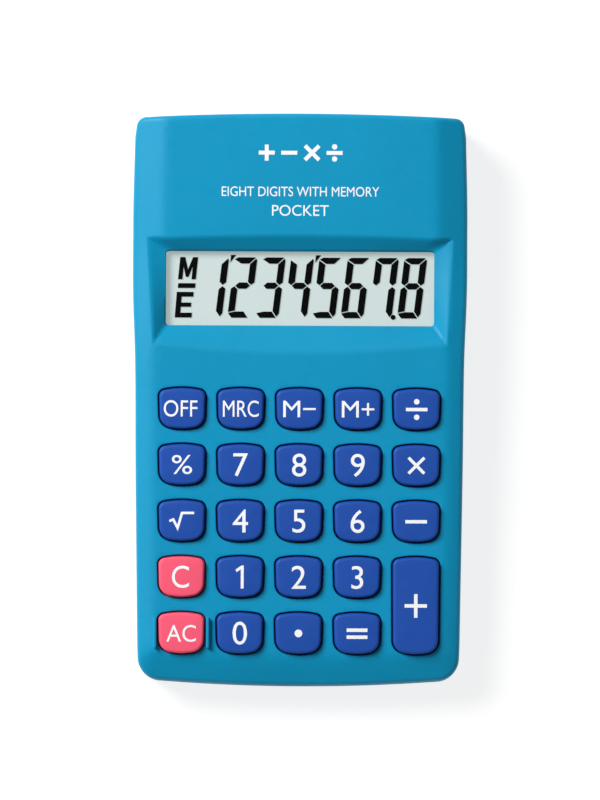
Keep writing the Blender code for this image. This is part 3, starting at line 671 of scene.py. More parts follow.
def cell_label(name):
    """The battery's sleeve: dark with a copper-coloured band at the positive end."""
    material, tree, shader = new_finish(name)
    along = add_node(tree, "SeparateXYZ", Vector=object_place(tree)).outputs["X"]
    band = spread(tree, along, 0.0, 1.0, 0.0118, 0.0120)
    rule = spread(tree, along, 0.0, 1.0, 0.0108, 0.0109)
    tone = blend_colours(tree, rule, (0.012, 0.014, 0.018), (0.75, 0.75, 0.72))
    tone = blend_colours(tree, band, tone, (0.62, 0.27, 0.08))
    scuff = spread(tree, object_noise(tree, 1.1, 5.0, (6.0, 1.0, 1.0)), 0.0, 0.25, 0.5, 0.8)
    feed(tree, shader, Base_Color=blend_colours(tree, scuff, tone, (0.5, 0.5, 0.5)),
         Roughness=spread(tree, object_noise(tree, 2.0, 4.0), 0.22, 0.42), Metallic=0.35)
    bump(tree, shader, object_noise(tree, 3.0, 2.0), 0.01, 0.5)
    return material


CASE_BLUE = moulded_plastic("case_blue_plastic", (0.001, 0.27, 0.478), 0.46, specular=0.2)
# The keys' last argument lightens their edges: partly wear, partly a painted highlight.
KEY_BLUE = moulded_plastic("key_blue_plastic", (0.012, 0.070, 0.36), 0.45, 0.3, 0.003, 0.2, 1.7)
KEY_RED = moulded_plastic("key_red_plastic", (0.88, 0.1, 0.175), 0.45, 0.3, 0.003, 0.2, 1.2)
WHITE_INK = printed_ink("white_print", (0.92, 0.93, 0.95))
DISPLAY_INK = printed_ink("display_black", (0.001, 0.001, 0.001), 0.5, 0.05)
# The display film's glow is painted light: it lifts the shade that the window's edge casts on the display.
DISPLAY_GREY = clear_sheet("display_grey_film", (0.36, 0.41, 0.405), 1.0, 0.5, 0.1, 0.42)
WINDOW_CLEAR = clear_sheet("window_clear", (0.01, 0.012, 0.012), 0.05, 0.06, 0.12)
CELL_GLASS = clear_sheet("display_cell_glass", (0.7, 0.8, 0.78), 0.5)
SCREW_STEEL = bare_metal("screw_zinc", (0.62, 0.62, 0.63), 0.34)
NICKEL = bare_metal("contact_nickel", (0.76, 0.73, 0.66), 0.28)
FOIL = bare_metal("reflector_foil", (0.8, 0.82, 0.82), 0.42, (3.0, 3.0, 3.0))
HOLDER_PLASTIC = moulded_plastic("holder_white_plastic", (0.62, 0.62, 0.6), 0.5)
RIBBON = moulded_plastic("ribbon_amber_film", (0.36, 0.2, 0.05), 0.3, 0.5, 0.002, 0.5)
RUBBER = soft_rubber("key_mat_silicone", (0.34, 0.35, 0.36))
BOARD = circuit_lacquer("board_lacquer")
EPOXY = soft_rubber("chip_epoxy", (0.012, 0.012, 0.013), 0.3)
CAPACITOR = moulded_plastic("capacitor_sleeve", (0.015, 0.022, 0.08), 0.3, 0.6, 0.003)
RESISTOR = moulded_plastic("resistor_lacquer", (0.5, 0.33, 0.16), 0.35, 0.6, 0.004)
CELL_SLEEVE = cell_label("cell_sleeve_print")
WIRE_RED = soft_rubber("wire_red_sleeve", (0.5, 0.012, 0.012), 0.42)
WIRE_BLACK = soft_rubber("wire_black_sleeve", (0.015, 0.015, 0.016), 0.42)


# Case

def add_loop(bm, points):
    verts = [bm.verts.new((x, y, 0.0)) for x, y in points]
    return [bm.edges.new((verts[index - 1], verts[index])) for index in range(len(verts))]


def open_rims(bm):
    """The rims of a sheet, each a list of edges."""
    waiting = {edge for edge in bm.edges if len(edge.link_faces) == 1}
    rims = []
    while waiting:
        chain = [waiting.pop()]
        reached = set(chain[0].verts)
        grown = True
        while grown:
            grown = [edge for vert in list(reached) for edge in vert.link_edges if edge in waiting]
            for edge in grown:
                if edge in waiting:
                    waiting.remove(edge)
                    chain.append(edge)
            reached = {vert for edge in grown for vert in edge.verts}
        rims.append(chain)
    return rims


def rim_guide(rim, outwards=False):
    """For each corner of a rim, where it is and which way is into its hole, or out of it, in plan."""
    corners = {vert for edge in rim for vert in edge.verts}
    centre = Vector((0.0, 0.0, 0.0))
    for vert in corners:
        centre += vert.co / len(corners)
    guide = {}
    for vert in corners:
        direction = Vector((0.0, 0.0, 0.0))
        for edge in vert.link_edges:
            if edge in rim:
                along = edge.verts[1].co - edge.verts[0].co
                side = Vector((along.y, -along.x, 0.0)).normalized()
                middle = (edge.verts[0].co + edge.verts[1].co) / 2 - centre
                if (side.dot(middle) > 0) != outwards:
                    side = -side
                direction += side
        guide[vert] = (vert.co.copy(), direction.normalized())
    return guide


def extrude_rim(bm, rim, guide, place):
    """Extrudes a rim; place gives each new corner from where its first one was and its direction."""
    made = bmesh.ops.extrude_edge_only(bm, edges=rim)["geom"]
    new_verts = {item for item in made if isinstance(item, bmesh.types.BMVert)}
    new_rim = [item for item in made if isinstance(item, bmesh.types.BMEdge)
               and item.verts[0] in new_verts and item.verts[1] in new_verts]
    new_guide = {}
    for vert in new_verts:
        old = next(edge.other_vert(vert) for edge in vert.link_edges if edge.other_vert(vert) in guide)
        new_guide[vert] = guide[old]
    for vert, (origin, direction) in new_guide.items():
        vert.co = place(origin, direction)
    return new_rim, new_guide


def window_point(origin, grow):
    """Where a point on the recess's outer edge lands on the window's edge, grown by an amount."""
    top_x, top_y = RECESS_TOP[0]
    bottom_x, bottom_y = RECESS_BOTTOM[0]
    half_x, half_y = (half + grow for half in WINDOW_HALF)
    if origin.y >= top_y - 0.001:
        point = (origin.x / top_x * half_x, half_y)
    elif origin.y <= bottom_y + 0.001:
        point = (origin.x / bottom_x * half_x, -half_y)
    else:
        share = (origin.y - bottom_y) / (top_y - bottom_y)
        point = (math.copysign(half_x, origin.x), half_y * (2 * share - 1))
    over = [abs(value) - (half - WINDOW_CORNER) for value, half in zip(point, (half_x, half_y))]
    if min(over) > 0:
        shrink = WINDOW_CORNER / math.hypot(*over)
        point = tuple(math.copysign(half - WINDOW_CORNER + part * shrink, value)
                      for value, half, part in zip(point, (half_x, half_y), over))
    return Vector((point[0], WINDOW_CENTRE + point[1], 0.0))


def key_opening(bm, rim, guide):
    for across, up in quarter_round(3, 1):
        rim, guide = extrude_rim(bm, rim, guide,
                                 lambda at, way: at + way * LIP * (1 - up) - Vector((0, 0, LIP * across)))
    extrude_rim(bm, rim, guide, lambda at, way: at + way * LIP - Vector((0, 0, SHELL)))


def recess_fall(share):
    """How far down the recess's slope has come, from 0 to 1: rounded over first, then straight."""
    if share < RECESS_SOFTNESS:
        fallen = share ** 2 / (2 * RECESS_SOFTNESS)
    else:
        fallen = share - RECESS_SOFTNESS / 2
    return fallen / (1 - RECESS_SOFTNESS / 2)


def display_recess(bm, rim, guide):
    def slope_point(at, share):
        point = at.lerp(window_point(at, WINDOW_CHAMFER), share)
        point.z = at.z + (-RECESS_DEPTH - at.z) * recess_fall(share)
        return point

    for share in (0.03, 0.07, 0.12, 0.17, 0.23, 0.3, 0.45, 0.6, 0.75, 0.88, 1.0):
        rim, guide = extrude_rim(bm, rim, guide, lambda at, way: slope_point(at, share))
    rim, guide = extrude_rim(bm, rim, guide,
                             lambda at, way: window_point(at, 0.0) - Vector((0, 0, BEZEL_DEPTH)))
    extrude_rim(bm, rim, guide, lambda at, way: at - Vector((0, 0, SHELL)))


def guard_ridges():
    """Two ridges that stand on the face, flush with the sides of the all-clear key's opening."""
    bodies = []
    top = GUARD_SIZE[2]
    for centre in GUARDS:
        rings = [level(guard_outline(centre), GUARD_ROOT), level(guard_outline(centre), top - GUARD_ROUNDING)]
        rings += [level(guard_outline(centre, GUARD_ROUNDING * inset), top - GUARD_ROUNDING * down)
                  for inset, down in quarter_round(4, 1)]
        bodies.append(rings)
    bm = lofts(bodies)
    bmesh.ops.transform(bm, matrix=FACE, verts=bm.verts)
    return bm


def edge_tilt(at, way):
    """How steeply the face falls outwards at its edge, in radians."""
    step = 0.3
    fall = face_relief(at.x - way.x * step, at.y - way.y * step) - face_relief(at.x, at.y)
    return math.atan2(max(fall, 0.0), step)


def outer_wall(bm, rim, guide, inner_heights):
    """The rounding, side wall, hem and groove of the front case, from its face to its inner skin."""
    hem = PARTING + GAP / 2

    def rounding(at, way, share):
        tilt = edge_tilt(at, way)
        angle = tilt + (math.pi / 2 - tilt) * share
        radius = FACE_EDGE / (1 - math.sin(tilt))
        down = radius * (math.cos(tilt) - math.cos(angle))
        return at + way * radius * (math.sin(angle) - math.sin(tilt)) - Vector((0, 0, down))

    for step in range(1, 8):
        rim, guide = extrude_rim(bm, rim, guide, lambda at, way: rounding(at, way, step / 7))
    groove_roof = PARTING + GROOVE_DEPTH
    groove_inset = WALL - GROOVE_WIDTH
    stations = ((0.0, hem + 2.2), (0.0, hem + 0.2), (0.06, hem + 0.06), (0.2, hem), (groove_inset, hem),
                (groove_inset, groove_roof), (WALL, groove_roof))
    for inset, height in stations:
        rim, guide = extrude_rim(bm, rim, guide, lambda at, way: Vector(
            (*(at + way * (FACE_EDGE - inset)).xy, height)))
    extrude_rim(bm, rim, guide, lambda at, way: Vector(
        (*(at + way * (FACE_EDGE - WALL)).xy, inner_heights[round(at.x, 4), round(at.y, 4)])))


def face_shell():
    """The front case: a curved sheet with its openings, walls and inner skin."""
    stretch = 1 / math.cos(SLOPE)
    bm = bmesh.new()
    edges = add_loop(bm, [(x, y * stretch) for x, y in case_outline(FACE_EDGE)])
    edges += add_loop(bm, bulging_frame(RECESS_TOP, RECESS_BOTTOM))
    for x, y, height in KEYS.values():
        edges += add_loop(bm, [(px + x, py + y) for px, py in key_outline(height, GAP + LIP)])
    bmesh.ops.triangle_fill(bm, use_beauty=True, use_dissolve=False, edges=edges, normal=(0, 0, 1))
    grid_cuts(bm, (-34.0, -59.0), (34.0, 59.0), 1.1)
    turn_faces(bm, 1)
    for vert in bm.verts:
        vert.co.z = face_relief(vert.co.x, vert.co.y)

    rims = open_rims(bm)
    copied = bmesh.ops.duplicate(bm, geom=bm.verts[:] + bm.edges[:] + bm.faces[:])
    twins = copied["vert_map"]
    inner_faces = [item for item in copied["geom"] if isinstance(item, bmesh.types.BMFace)]
    inner_verts = [item for item in copied["geom"] if isinstance(item, bmesh.types.BMVert)]
    bmesh.ops.reverse_faces(bm, faces=inner_faces)
    bmesh.ops.translate(bm, verts=inner_verts, vec=(0, 0, -SHELL))

    outer = None
    for rim in rims:
        low, high = extent([vert.co for edge in rim for vert in edge.verts])
        width = high.x - low.x
        if width > 2 * WINDOW_HALF[0] + 10:
            outer = rim
            continue
        guide = rim_guide(rim)
        if width > 2 * WINDOW_HALF[0]:
            display_recess(bm, rim, guide)
        else:
            for vert, (origin, direction) in guide.items():
                twins[vert].co = origin + direction * LIP - Vector((0, 0, SHELL))
            key_opening(bm, rim, guide)

    outer_twins = {vert: twins[vert] for edge in outer for vert in edge.verts}
    bmesh.ops.transform(bm, matrix=FACE, verts=bm.verts)
    guide = rim_guide(outer, outwards=True)
    inner_heights = {}
    for vert, (origin, direction) in guide.items():
        twin = outer_twins[vert]
        twin.co = Vector((*(origin + direction * (FACE_EDGE - WALL)).xy, twin.co.z))
        inner_heights[round(origin.x, 4), round(origin.y, 4)] = twin.co.z
    outer_wall(bm, outer, guide, inner_heights)
    bmesh.ops.remove_doubles(bm, verts=bm.verts, dist=0.002)
    bm = boolean(closed(bm), guard_ridges(), "UNION")
    finish_piece("face_shell", bm, CASE_BLUE, "case", ("front_case",), sharp=38.0)


face_shell()


# Rear case and battery cover

def back_shape(top, hem=0.0):
    """The outside of the rear case from the flat back up to a height, with a rounded hem."""
    rings = [level(case_outline(BACK_EDGE_WIDTH * inset), BACK_EDGE_HEIGHT * up)
             for up, inset in quarter_round(8)]
    if hem:
        rings.append(level(case_outline(), top - hem))
        rings.append(level(case_outline(0.3 * hem), top - 0.3 * hem))
    rings.append(level(case_outline(hem), top))
    return loft(*rings)


def cover_slot(grow):
    """Rings of the battery cover's stepped cross-section, run out past the display end."""
    narrow = COVER_HALF_WIDTH + grow
    wide = COVER_HALF_WIDTH + COVER_WING + grow
    step = COVER_LEDGE + GAP - grow
    roof = COVER_THICKNESS + grow
    section = ((-narrow, -1.0), (narrow, -1.0), (narrow, step), (wide, step), (wide, roof),
               (-wide, roof), (-wide, step), (-narrow, step))
    return [[(x, y, z) for x, z in section] for y in (COVER_START - grow, LENGTH / 2 + 2)]


def back_shell():
    """The rear case: its lip, screw posts and cell rib, and what is cut out of it."""
    lip_top = PARTING + LIP_HEIGHT
    lip = case_outline(WALL - LIP_THICKNESS)
    slim_lip = case_outline(WALL - LIP_THICKNESS + 0.15)
    inner = case_outline(WALL)
    low_inner = case_outline(WALL + BACK_EDGE_WIDTH / 2)
    bm = boolean(back_shape(PARTING - GAP / 2, 0.2),
                 loft(level(lip, PARTING - 1.5), level(lip, lip_top - 0.2), level(slim_lip, lip_top)),
                 "UNION")
    hollow = loft(level(low_inner, FLOOR), level(inner, BACK_EDGE_HEIGHT), level(inner, lip_top + 1))
    bm = boolean(bm, hollow)

    posts = [arc(centre, CASE_BOSS, 0, 350, 35) for centre in CASE_SCREWS]
    posts = lofts([(level(ring, FLOOR / 2), level(ring, PARTING - 1.0)) for ring in posts])
    bm = boolean(bm, posts, "UNION")
    side = RIB_HALF_WIDTH
    inside = side - RIB_THICKNESS
    fence = ((-side, RIB[0]), (side, RIB[0]), (side, RIB_END), (inside, RIB_END), (inside, RIB[1]),
             (-inside, RIB[1]), (-inside, RIB_END), (-side, RIB_END))
    bm = boolean(bm, loft(level(fence, FLOOR / 2), level(fence, RIB_TOP)), "UNION")

    cuts = [cover_slot(GAP)]
    for centre in CASE_SCREWS:
        mouth, head, shank = (arc(centre, radius, 0, 350, 35) for radius in SCREW_WELL)
        cuts.append((level(mouth, -1.0), level(mouth, 0.0), level(head, 0.2), level(head, FLOOR),
                     level(shank, FLOOR), level(shank, PARTING)))
    for side in (-1, 1):
        notch = bar(2.4, 2.0, (side * WIRE_NOTCH, 39.6))
        cuts.append((level(notch, 2.4), level(notch, RIB_TOP + 1)))
    bm = boolean(bm, lofts(cuts))
    finish_piece("back_shell", bm, CASE_BLUE, "case", ("rear_case",), 30.0)


def cover_panel():
    """The sliding cover, with a ribbed thumb grip and an arrow pressed into it."""
    bm = boolean(back_shape(PARTING), loft(*cover_slot(0.0)), "INTERSECT")
    half_width, low, high, corner = GRIP
    grip = rounded_rectangle(*GRIP, 10)
    rim = rounded_rectangle(half_width + 0.3, low - 0.3, high + 0.3, corner + 0.3, 10)
    bm = boolean(bm, loft(level(rim, -1.0), level(rim, 0.0), level(grip, 0.35), level(grip, 0.75)))
    ribs = []
    first, pitch, count = GRIP_RIBS
    for index in range(count):
        y = first + pitch * index
        reach = 9.6 - (1.4 if index in (0, count - 1) else 0.0)
        foot = rounded_rectangle(reach, y - 0.35, y + 0.35, 0.34, 5)
        crest = rounded_rectangle(reach - 0.15, y - 0.2, y + 0.2, 0.19, 5)
        ribs.append((level(crest, 0.12), level(foot, 0.3), level(foot, 1.0)))
    bm = boolean(bm, lofts(ribs), "UNION")
    bm = boolean(bm, loft(level(ARROW, -1.0), level(ARROW, 0.3)))
    finish_piece("cover_panel", bm, CASE_BLUE, "battery_cover", ("battery_cover",), 30.0)


back_shell()
cover_panel()


# Keys and their printing

def keytop_height(x, y, height):
    """Height of a gently domed keytop at a point measured from its centre."""
    rim = KEY_DRAFT + KEY_BEVEL
    reach = max(abs(x) / (KEY_WIDTH / 2 - rim), abs(y) / (height / 2 - rim))
    return KEY_PROUD - KEY_DOME * reach ** 2


def keycap(name):
    x, y, height = KEYS[name]
    foot = key_outline(height, FLANGE)
    stem = key_outline(height)
    shoulder = KEY_PROUD - KEY_DOME
    rings = [level(foot, FLANGE_BOTTOM), level(foot, FLANGE_TOP), level(stem, FLANGE_TOP), level(stem, -0.3)]
    rings += [level(key_outline(height, -KEY_DRAFT - KEY_BEVEL * inset), shoulder - KEY_BEVEL * down)
              for inset, down in quarter_round(6)]
    crest = key_outline(height, -KEY_DRAFT - KEY_BEVEL)
    for share in (0.9, 0.8, 0.7, 0.6, 0.5, 0.4, 0.3, 0.2, 0.1):
        rings.append([(px * share, py * share, KEY_PROUD - KEY_DOME * share ** 2) for px, py in crest])
    red = name in RED_KEYS
    finish_piece("keycap_" + name[4:], loft(*rings), KEY_RED if red else KEY_BLUE, name,
                 (name,), 40.0, FACE @ Matrix.Translation((x, y, 0)))


def add_shapes(bm, *outlines):
    for outline in outlines:
        bm.faces.new([bm.verts.new((x, y, 0.0)) for x, y in outline])


def add_text(bm, text, height, width=None, centre=(0.0, 0.0)):
    """Flat lettering of a given size round a centre."""
    curve = bpy.data.curves.new("lettering", "FONT")
    curve.body = text
    curve.resolution_u = 5
    item = bpy.data.objects.new("lettering", curve)
    bpy.context.scene.collection.objects.link(item)
    letters = bmesh.new()
    letters.from_mesh(evaluated_mesh(item))
    bpy.data.objects.remove(item)
    bpy.data.curves.remove(curve)
    bmesh.ops.remove_doubles(letters, verts=letters.verts, dist=0.0001)
    low, high = extent([vert.co for vert in letters.verts])
    size = high - low
    tall = height / size.y
    wide = width / size.x if width else tall
    for vert in letters.verts:
        vert.co = Vector((centre[0] + (vert.co.x - (low.x + high.x) / 2) * wide,
                          centre[1] + (vert.co.y - (low.y + high.y) / 2) * tall, 0))
    mesh = bpy.data.meshes.new("lettering")
    letters.to_mesh(mesh)
    letters.free()
    bm.from_mesh(mesh)
    bpy.data.meshes.remove(mesh)


def thicken(bm, thickness):
    """Makes closed bodies of flat shapes, upwards."""
    made = bmesh.ops.extrude_face_region(bm, geom=bm.faces[:], use_keep_orig=True)
    raised = [item for item in made["geom"] if isinstance(item, bmesh.types.BMVert)]
    bmesh.ops.translate(bm, verts=raised, vec=(0, 0, thickness))
    closed(bm)


def print_on(bm, surface):
    """Lays flat shapes on a curved surface and gives them the thickness of ink."""
    grid_cuts(bm, *extent([vert.co for vert in bm.verts]), 0.9)
    turn_faces(bm, -1)
    for vert in bm.verts:
        vert.co.z = surface(vert.co.x, vert.co.y) + PRINT_LIFT
    thicken(bm, PRINT_THICKNESS)


SIGNS = {"key_1": (FIGURE_ONE,),
         "key_m_minus": (bar(2.6, 0.42, (2.05, 0.0)),),
         "key_m_plus": (cross(2.6, 2.6, 0.42, 0.0, (2.05, 0.0)),),
         "key_divide": (bar(4.45, 0.7), disc(0.57, (0, 1.6)), disc(0.57, (0, -1.6))),
         "key_multiply": (cross(4.6, 4.6, 0.62, 45.0),),
         "key_minus": (bar(4.45, 0.7),),
         "key_plus": (cross(4.6, 4.87, 0.72),),
         "key_equals": (bar(4.3, 0.72, (0, 0.72)), bar(4.3, 0.72, (0, -0.72))),
         "key_point": (disc(0.8),),
         "key_sqrt": (stroke(ROOT_LINE, 0.5),)}


def legend(name):
    """White printing on a keytop: lettering, or a sign made of bars and dots."""
    x, y, height = KEYS[name]
    bm = bmesh.new()
    if name in WORDS:
        add_text(bm, *WORDS[name])
    add_shapes(bm, *SIGNS.get(name, ()))
    print_on(bm, lambda px, py: keytop_height(px, py, height))
    finish_piece("legend_" + name[4:], bm, WHITE_INK, name, (), 60.0,
                 FACE @ Matrix.Translation((x, y, 0)))


def face_printing():
    """Plain signs and words in white above the display."""
    bm = bmesh.new()
    size, thick, middle = SIGN_SIZE, SIGN_STROKE, SIGN_PLACE
    add_shapes(bm, cross(size, size, thick, 0.0, (-7.0, middle)), bar(size, thick, (-2.35, middle)),
               cross(size * 1.25, size * 1.25, thick, 45.0, (2.35, middle)), bar(size, thick, (7.0, middle)),
               disc(0.55, (7.0, middle + 1.25)), disc(0.55, (7.0, middle - 1.25)))
    for words in FACE_WORDS:
        add_text(bm, *words)
    print_on(bm, face_relief)
    finish_piece("face_printing", bm, WHITE_INK, "case", (), 60.0, FACE)


for key in KEYS:
    keycap(key)
    legend(key)
face_printing()


# Display

def digit_bars(half, top, middle, bottom):
    """The seven bars of a digit, upright and round x = 0, before the gaps between them are taken off."""
    inner = half - UPRIGHT_BAR
    under, over = top - LEVEL_BAR, bottom + LEVEL_BAR
    above, below = middle + LEVEL_BAR / 2, middle - LEVEL_BAR / 2
    tip = half - UPRIGHT_BAR / 2
    return {
        "a": ((-half + 0.85, top), (-half, top - 0.5), (-inner, under), (inner, under),
              (half - 0.3, top - 0.2), (half - 0.6, top)),
        "b": ((half - 0.3, top - 0.2), (inner, under), (inner, above), (tip, middle), (half, middle + 0.6),
              (half, top - 0.7)),
        "c": ((half, middle - 0.6), (tip, middle), (inner, below), (inner, over),
              (half - 0.62, bottom + 0.22), (half - 0.35, bottom + 0.45), (half, bottom + 1.0)),
        "d": ((-inner, over), (-half, over - 0.35), (-half + 0.35, over - 0.85), (-half + 0.95, bottom),
              (half - 0.6, bottom), (half - 0.55, bottom + 0.1), (half - 0.62, bottom + 0.22), (inner, over)),
        "e": ((-half, middle - 0.6), (-half, over - 0.35), (-inner, over), (-inner, below), (-tip, middle)),
        "f": ((-half, top - 0.5), (-half, middle + 0.6), (-tip, middle), (-inner, above), (-inner, under)),
        "g": ((-tip, middle), (-inner, below), (inner, below), (tip, middle), (inner, above),
              (-inner, above))}


def small_letters():
    """The memory sign, the minus sign and the error sign, leaning a little."""
    wide, tall, leg, slanting = LETTER_M
    half = wide / 2
    memory = ((0, 0), (0, tall), (slanting, tall), (half, 2.1), (wide - slanting, tall), (wide, tall),
              (wide, 0), (wide - leg, 0), (wide - leg, 2.6), (half + 0.3, 0.5), (half - 0.3, 0.5), (leg, 2.6),
              (leg, 0))
    wide, tall, upright, arm, low = LETTER_E
    middle = tall / 2
    error = ((0, 0), (wide, 0), (wide, arm), (upright, arm), (upright, middle - low),
             (wide - 0.3, middle - low), (wide - 0.3, middle + low), (upright, middle + low),
             (upright, tall - arm), (wide, tall - arm), (wide, tall), (0, tall))
    minus = bar(3.6, 1.0, (-23.5, 0.55))
    return [[(x + left + slant * y, y + foot) for x, y in outline] for outline, slant, left, foot in
            ((memory, 0.1, -25.25, 1.85), (minus, 0.1, 0.0, 0.0), (error, 0.08, -25.9, -6.05))]


def display_digits():
    """The digits, the two tick marks, the point and the small letters, as one thin layer."""
    bm = bmesh.new()
    bars = digit_bars(DIGIT_WIDTH / 2, *DIGIT_LEVELS)
    for index, lit in enumerate(LIT_BARS):
        centre = LAST_DIGIT - DIGIT_PITCH * (len(LIT_BARS) - 1 - index)
        add_shapes(bm, *([(centre + x + DIGIT_SLANT * y, y) for x, y in bars[letter]] for letter in lit))
    bm.normal_update()
    margins = bmesh.ops.inset_individual(bm, faces=bm.faces[:], thickness=BAR_GAP / 2, use_even_offset=True)
    bmesh.ops.delete(bm, geom=margins["faces"], context="FACES")
    add_shapes(bm, disc(*POINT), *([(x + shift, y) for x, y in TICK] for shift in (0, 3 * DIGIT_PITCH)),
               *small_letters())
    thicken(bm, DIGIT_LAYER[0] - DIGIT_LAYER[1])
    finish_piece("display_digits", bm, DISPLAY_INK, "case", (), 30.0,
                 FACE @ Matrix.Translation((0, WINDOW_CENTRE, DIGIT_LAYER[1])))


display_digits()


# Screws, cell and spring

def screw_heads():
    """The case screws: a domed head with a cross recess, and a threaded shank."""
    seat = FLOOR - GAP
    tip = CASE_SCREW_TOP - seat
    dome = [(SCREW_HEAD * math.sin(math.radians(angle)), -0.55 - 0.4 * math.cos(math.radians(angle)))
            for angle in (0, 25, 45, 60, 75)]
    rim = [(SCREW_HEAD, -0.45), (SCREW_HEAD, -0.05), (SCREW_HEAD - 0.05, 0), (SCREW_SHANK, 0.0)]
    thread = [(SCREW_SHANK + THREAD_RISE * (turn % 2), 0.4 + THREAD_PITCH * turn) for turn in range(20)]
    mouth, floor = cross(1.9, 1.9, 0.42, 45), cross(1.2, 1.2, 0.26, 45)
    for index, (x, y) in enumerate(CASE_SCREWS, 1):
        bm = boolean(turned([(0, dome[0][1])] + dome[1:] + rim + thread + [(0.3, tip), (0, tip)], 36),
                     loft(level(mouth, -1.2), level(mouth, -0.9), level(floor, -0.3)))
        finish_piece(f"case_screw_detail_{index}", bm, SCREW_STEEL, "case",
                     (f"case_screw_{index}",), 35.0, Matrix.Translation((x, y, seat)))


def cell():
    """The AA cell: a plated can with a button end, and a printed sleeve round it."""
    low, high = CELL_ENDS
    lay = Matrix.Translation((0, *CELL_AXIS)) @ Matrix.Rotation(math.pi / 2, 4, "Y")
    radius = CELL_RADIUS
    can = turned([(0, low + 0.35), (3.6, low + 0.35), (4.0, low), (radius - 1.1, low),
                  (radius - 0.5, low + 0.3), (radius - 0.2, low + 0.8), (radius - 0.2, high - 0.9),
                  (radius - 0.6, high - 0.3), (radius - 1.2, high - 0.1), (3.4, high - 0.3),
                  (NUB_RADIUS + 0.2, high), (NUB_RADIUS, high + 0.4),
                  (NUB_RADIUS - 0.1, high + NUB_LENGTH - 0.35), (NUB_RADIUS - 0.5, high + NUB_LENGTH),
                  (0, high + NUB_LENGTH)], 64)
    finish_piece("cell_can", can, NICKEL, "case", ("battery_cell",), 30.0, lay)
    section = ((radius - 0.9, low + 0.1), (radius - 0.2, low + 0.45), (radius, low + 1.0),
               (radius, high - 1.0), (radius - 0.15, high - 0.5), (radius - 0.8, high - 0.05),
               (radius - 0.9, high - 0.12), (radius - 0.25, high - 0.7), (radius - 0.12, high - 1.1),
               (radius - 0.12, low + 1.1), (radius - 0.3, low + 0.6), (radius - 0.95, low + 0.2))
    sleeve = bmesh.new()
    face = sleeve.faces.new([sleeve.verts.new((r, 0, z)) for r, z in section])
    sleeve = spun(sleeve, face.verts[:] + face.edges[:], 64)
    finish_piece("cell_sleeve", sleeve, CELL_SLEEVE, "case", (), 30.0, lay)


def wire_tube(points, radius, sides=12):
    """A round wire along a path."""
    angles = [math.tau * side / sides for side in range(sides)]
    rings = []
    for index, point in enumerate(points):
        ahead = (points[min(index + 1, len(points) - 1)] - points[max(index - 1, 0)]).normalized()
        turn = ahead.to_track_quat("Z", "X" if abs(ahead.x) < 0.9 else "Y").to_matrix()
        rings.append([point + turn @ Vector((radius * math.cos(angle), radius * math.sin(angle), 0))
                      for angle in angles])
    return loft(*rings)


def coil_spring():
    along, above = CELL_AXIS
    start = -CONTACT_PLANE + GAP + SPRING_WIRE
    end = CELL_ENDS[0] - GAP - SPRING_WIRE
    count = int(SPRING_TURNS * 28)
    points = []
    for index in range(count + 1):
        share = index / count
        radius = SPRING_RADII[0] + (SPRING_RADII[1] - SPRING_RADII[0]) * share
        angle = math.tau * SPRING_TURNS * share
        points.append(Vector((start + (end - start) * share, along + radius * math.cos(angle),
                              above + radius * math.sin(angle))))
    finish_piece("coil_spring", wire_tube(points, SPRING_WIRE), NICKEL, "case",
                 ("battery_spring",), 50.0)


screw_heads()
cell()
coil_spring()


# Key mat, with a dome under each key

def mat_and_domes():
    outline = rounded_rectangle(MAT_HALF_WIDTH, *MAT_ENDS, 4.0, 8)
    sheet = loft(level(outline, MAT_TOP - MAT_THICKNESS), level(outline, MAT_TOP))
    holes = [arc(centre, BOARD_BOSS + 0.4, 0, 345, 23) for centre in BOARD_SCREWS]
    holes = lofts([(level(ring, MAT_TOP - 2), level(ring, MAT_TOP + 1)) for ring in holes])
    finish_piece("mat_sheet", boolean(sheet, holes), RUBBER, "case", ("key_mat",), 30.0, FACE)
    profile = [(0, DOME[0][1]), *DOME, (0, DOME[-1][1])]
    for name, (x, y, _) in KEYS.items():
        place = FACE @ Matrix.Translation((x, y, 0))
        dome = finish_piece("dome_" + name[4:], turned([(r, MAT_TOP + z) for r, z in profile], 32), RUBBER,
                            "case", (), 40.0, place)
        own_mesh(dome)


mat_and_domes()


# Finishes of the pieces that keep their own shape

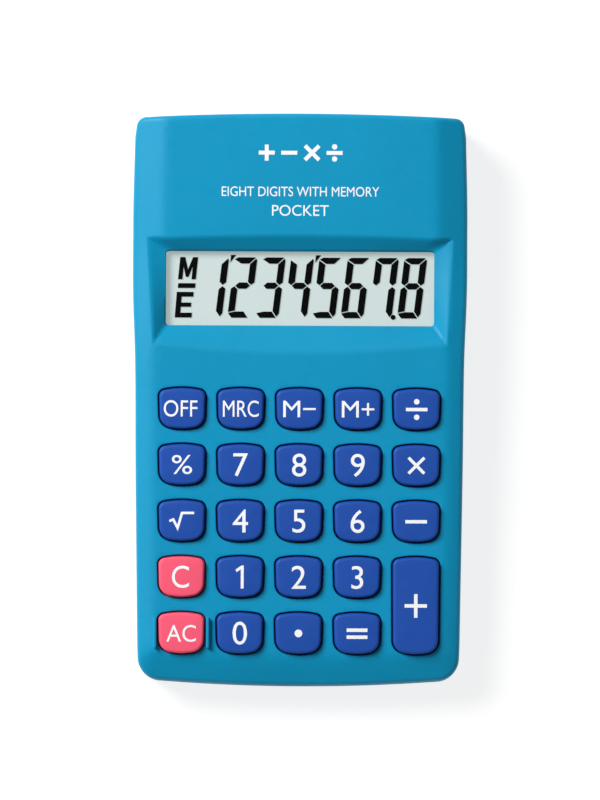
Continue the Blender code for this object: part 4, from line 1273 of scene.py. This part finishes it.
def dress_frame():
    finishes = {"display_window": WINDOW_CLEAR, "lcd_polarizer": DISPLAY_GREY, "lcd_front_glass": CELL_GLASS,
                "lcd_rear_glass": CELL_GLASS, "lcd_reflector": FOIL, "lcd_holder": HOLDER_PLASTIC,
                "lcd_ribbon": RIBBON, "circuit_board": BOARD, "chip_blob": EPOXY, "capacitor": CAPACITOR,
                "resistor": RESISTOR, "contact_positive": NICKEL, "contact_negative": NICKEL,
                "wire_red": WIRE_RED, "wire_black": WIRE_BLACK}
    for index in range(1, 5):
        finishes[f"board_screw_{index}"] = SCREW_STEEL
    for name, finish in finishes.items():
        node = frame["nodes"][name]
        node.data.materials.clear()
        node.data.materials.append(finish)


dress_frame()


# Stage

def studio():
    floor_bm = bmesh.new()
    bmesh.ops.create_grid(floor_bm, x_segments=8, y_segments=8, size=2.5)
    floor = show(floor_bm, "floor")
    material, tree, shader = new_finish("pale_floor")
    mottle = spread(tree, object_noise(tree, 60.0, 3.0), 0.0, 1.0)
    feed(tree, shader, Base_Color=blend_colours(tree, mottle, *((grey,) * 3 for grey in FLOOR_GREYS)),
         Roughness=0.9, Specular_IOR_Level=0.1, Emission_Color=(1.0, 1.0, 1.0, 1.0),
         Emission_Strength=FLOOR_GLOW)
    floor.data.materials.append(material)

    for name, place, size, power in LIGHTS:
        data = bpy.data.lights.new(name, "AREA")
        data.shape = "DISK"
        data.size = size
        data.energy = power
        light = bpy.data.objects.new(name, data)
        light.location = place
        light.rotation_euler = (-Vector(place)).to_track_quat("-Z", "Y").to_euler()
        bpy.context.scene.collection.objects.link(light)

    world = bpy.data.worlds.new("studio")
    bpy.context.scene.world = world
    world.use_nodes = True
    tree = world.node_tree
    seen = add_node(tree, "LightPath").outputs["Is Camera Ray"]
    feed(tree, tree.nodes["Background"], Color=(1.0, 1.0, 1.0, 1.0),
         Strength=spread(tree, seen, SKY_LIGHT, SKY_SEEN, 0.0, 1.0))
    bpy.context.scene.view_settings.view_transform = "Standard"


def camera():
    """Looks straight into the face from far off, so that the sides don't show."""
    data = bpy.data.cameras.new("camera")
    data.sensor_width = 36.0
    data.lens = data.sensor_width * (VIEW_DISTANCE - 5.0) / VIEW_HEIGHT
    data.clip_end = 20.0
    made = bpy.data.objects.new("camera", data)
    roll = Matrix.Rotation(math.radians(VIEW_ROLL), 4, "Z")
    seat = FACE @ Matrix.Translation((*VIEW_CENTRE, VIEW_DISTANCE)) @ roll
    seat.translation = seat.translation * METRES
    made.matrix_world = seat
    bpy.context.scene.collection.objects.link(made)
    bpy.context.scene.camera = made


studio()
camera()
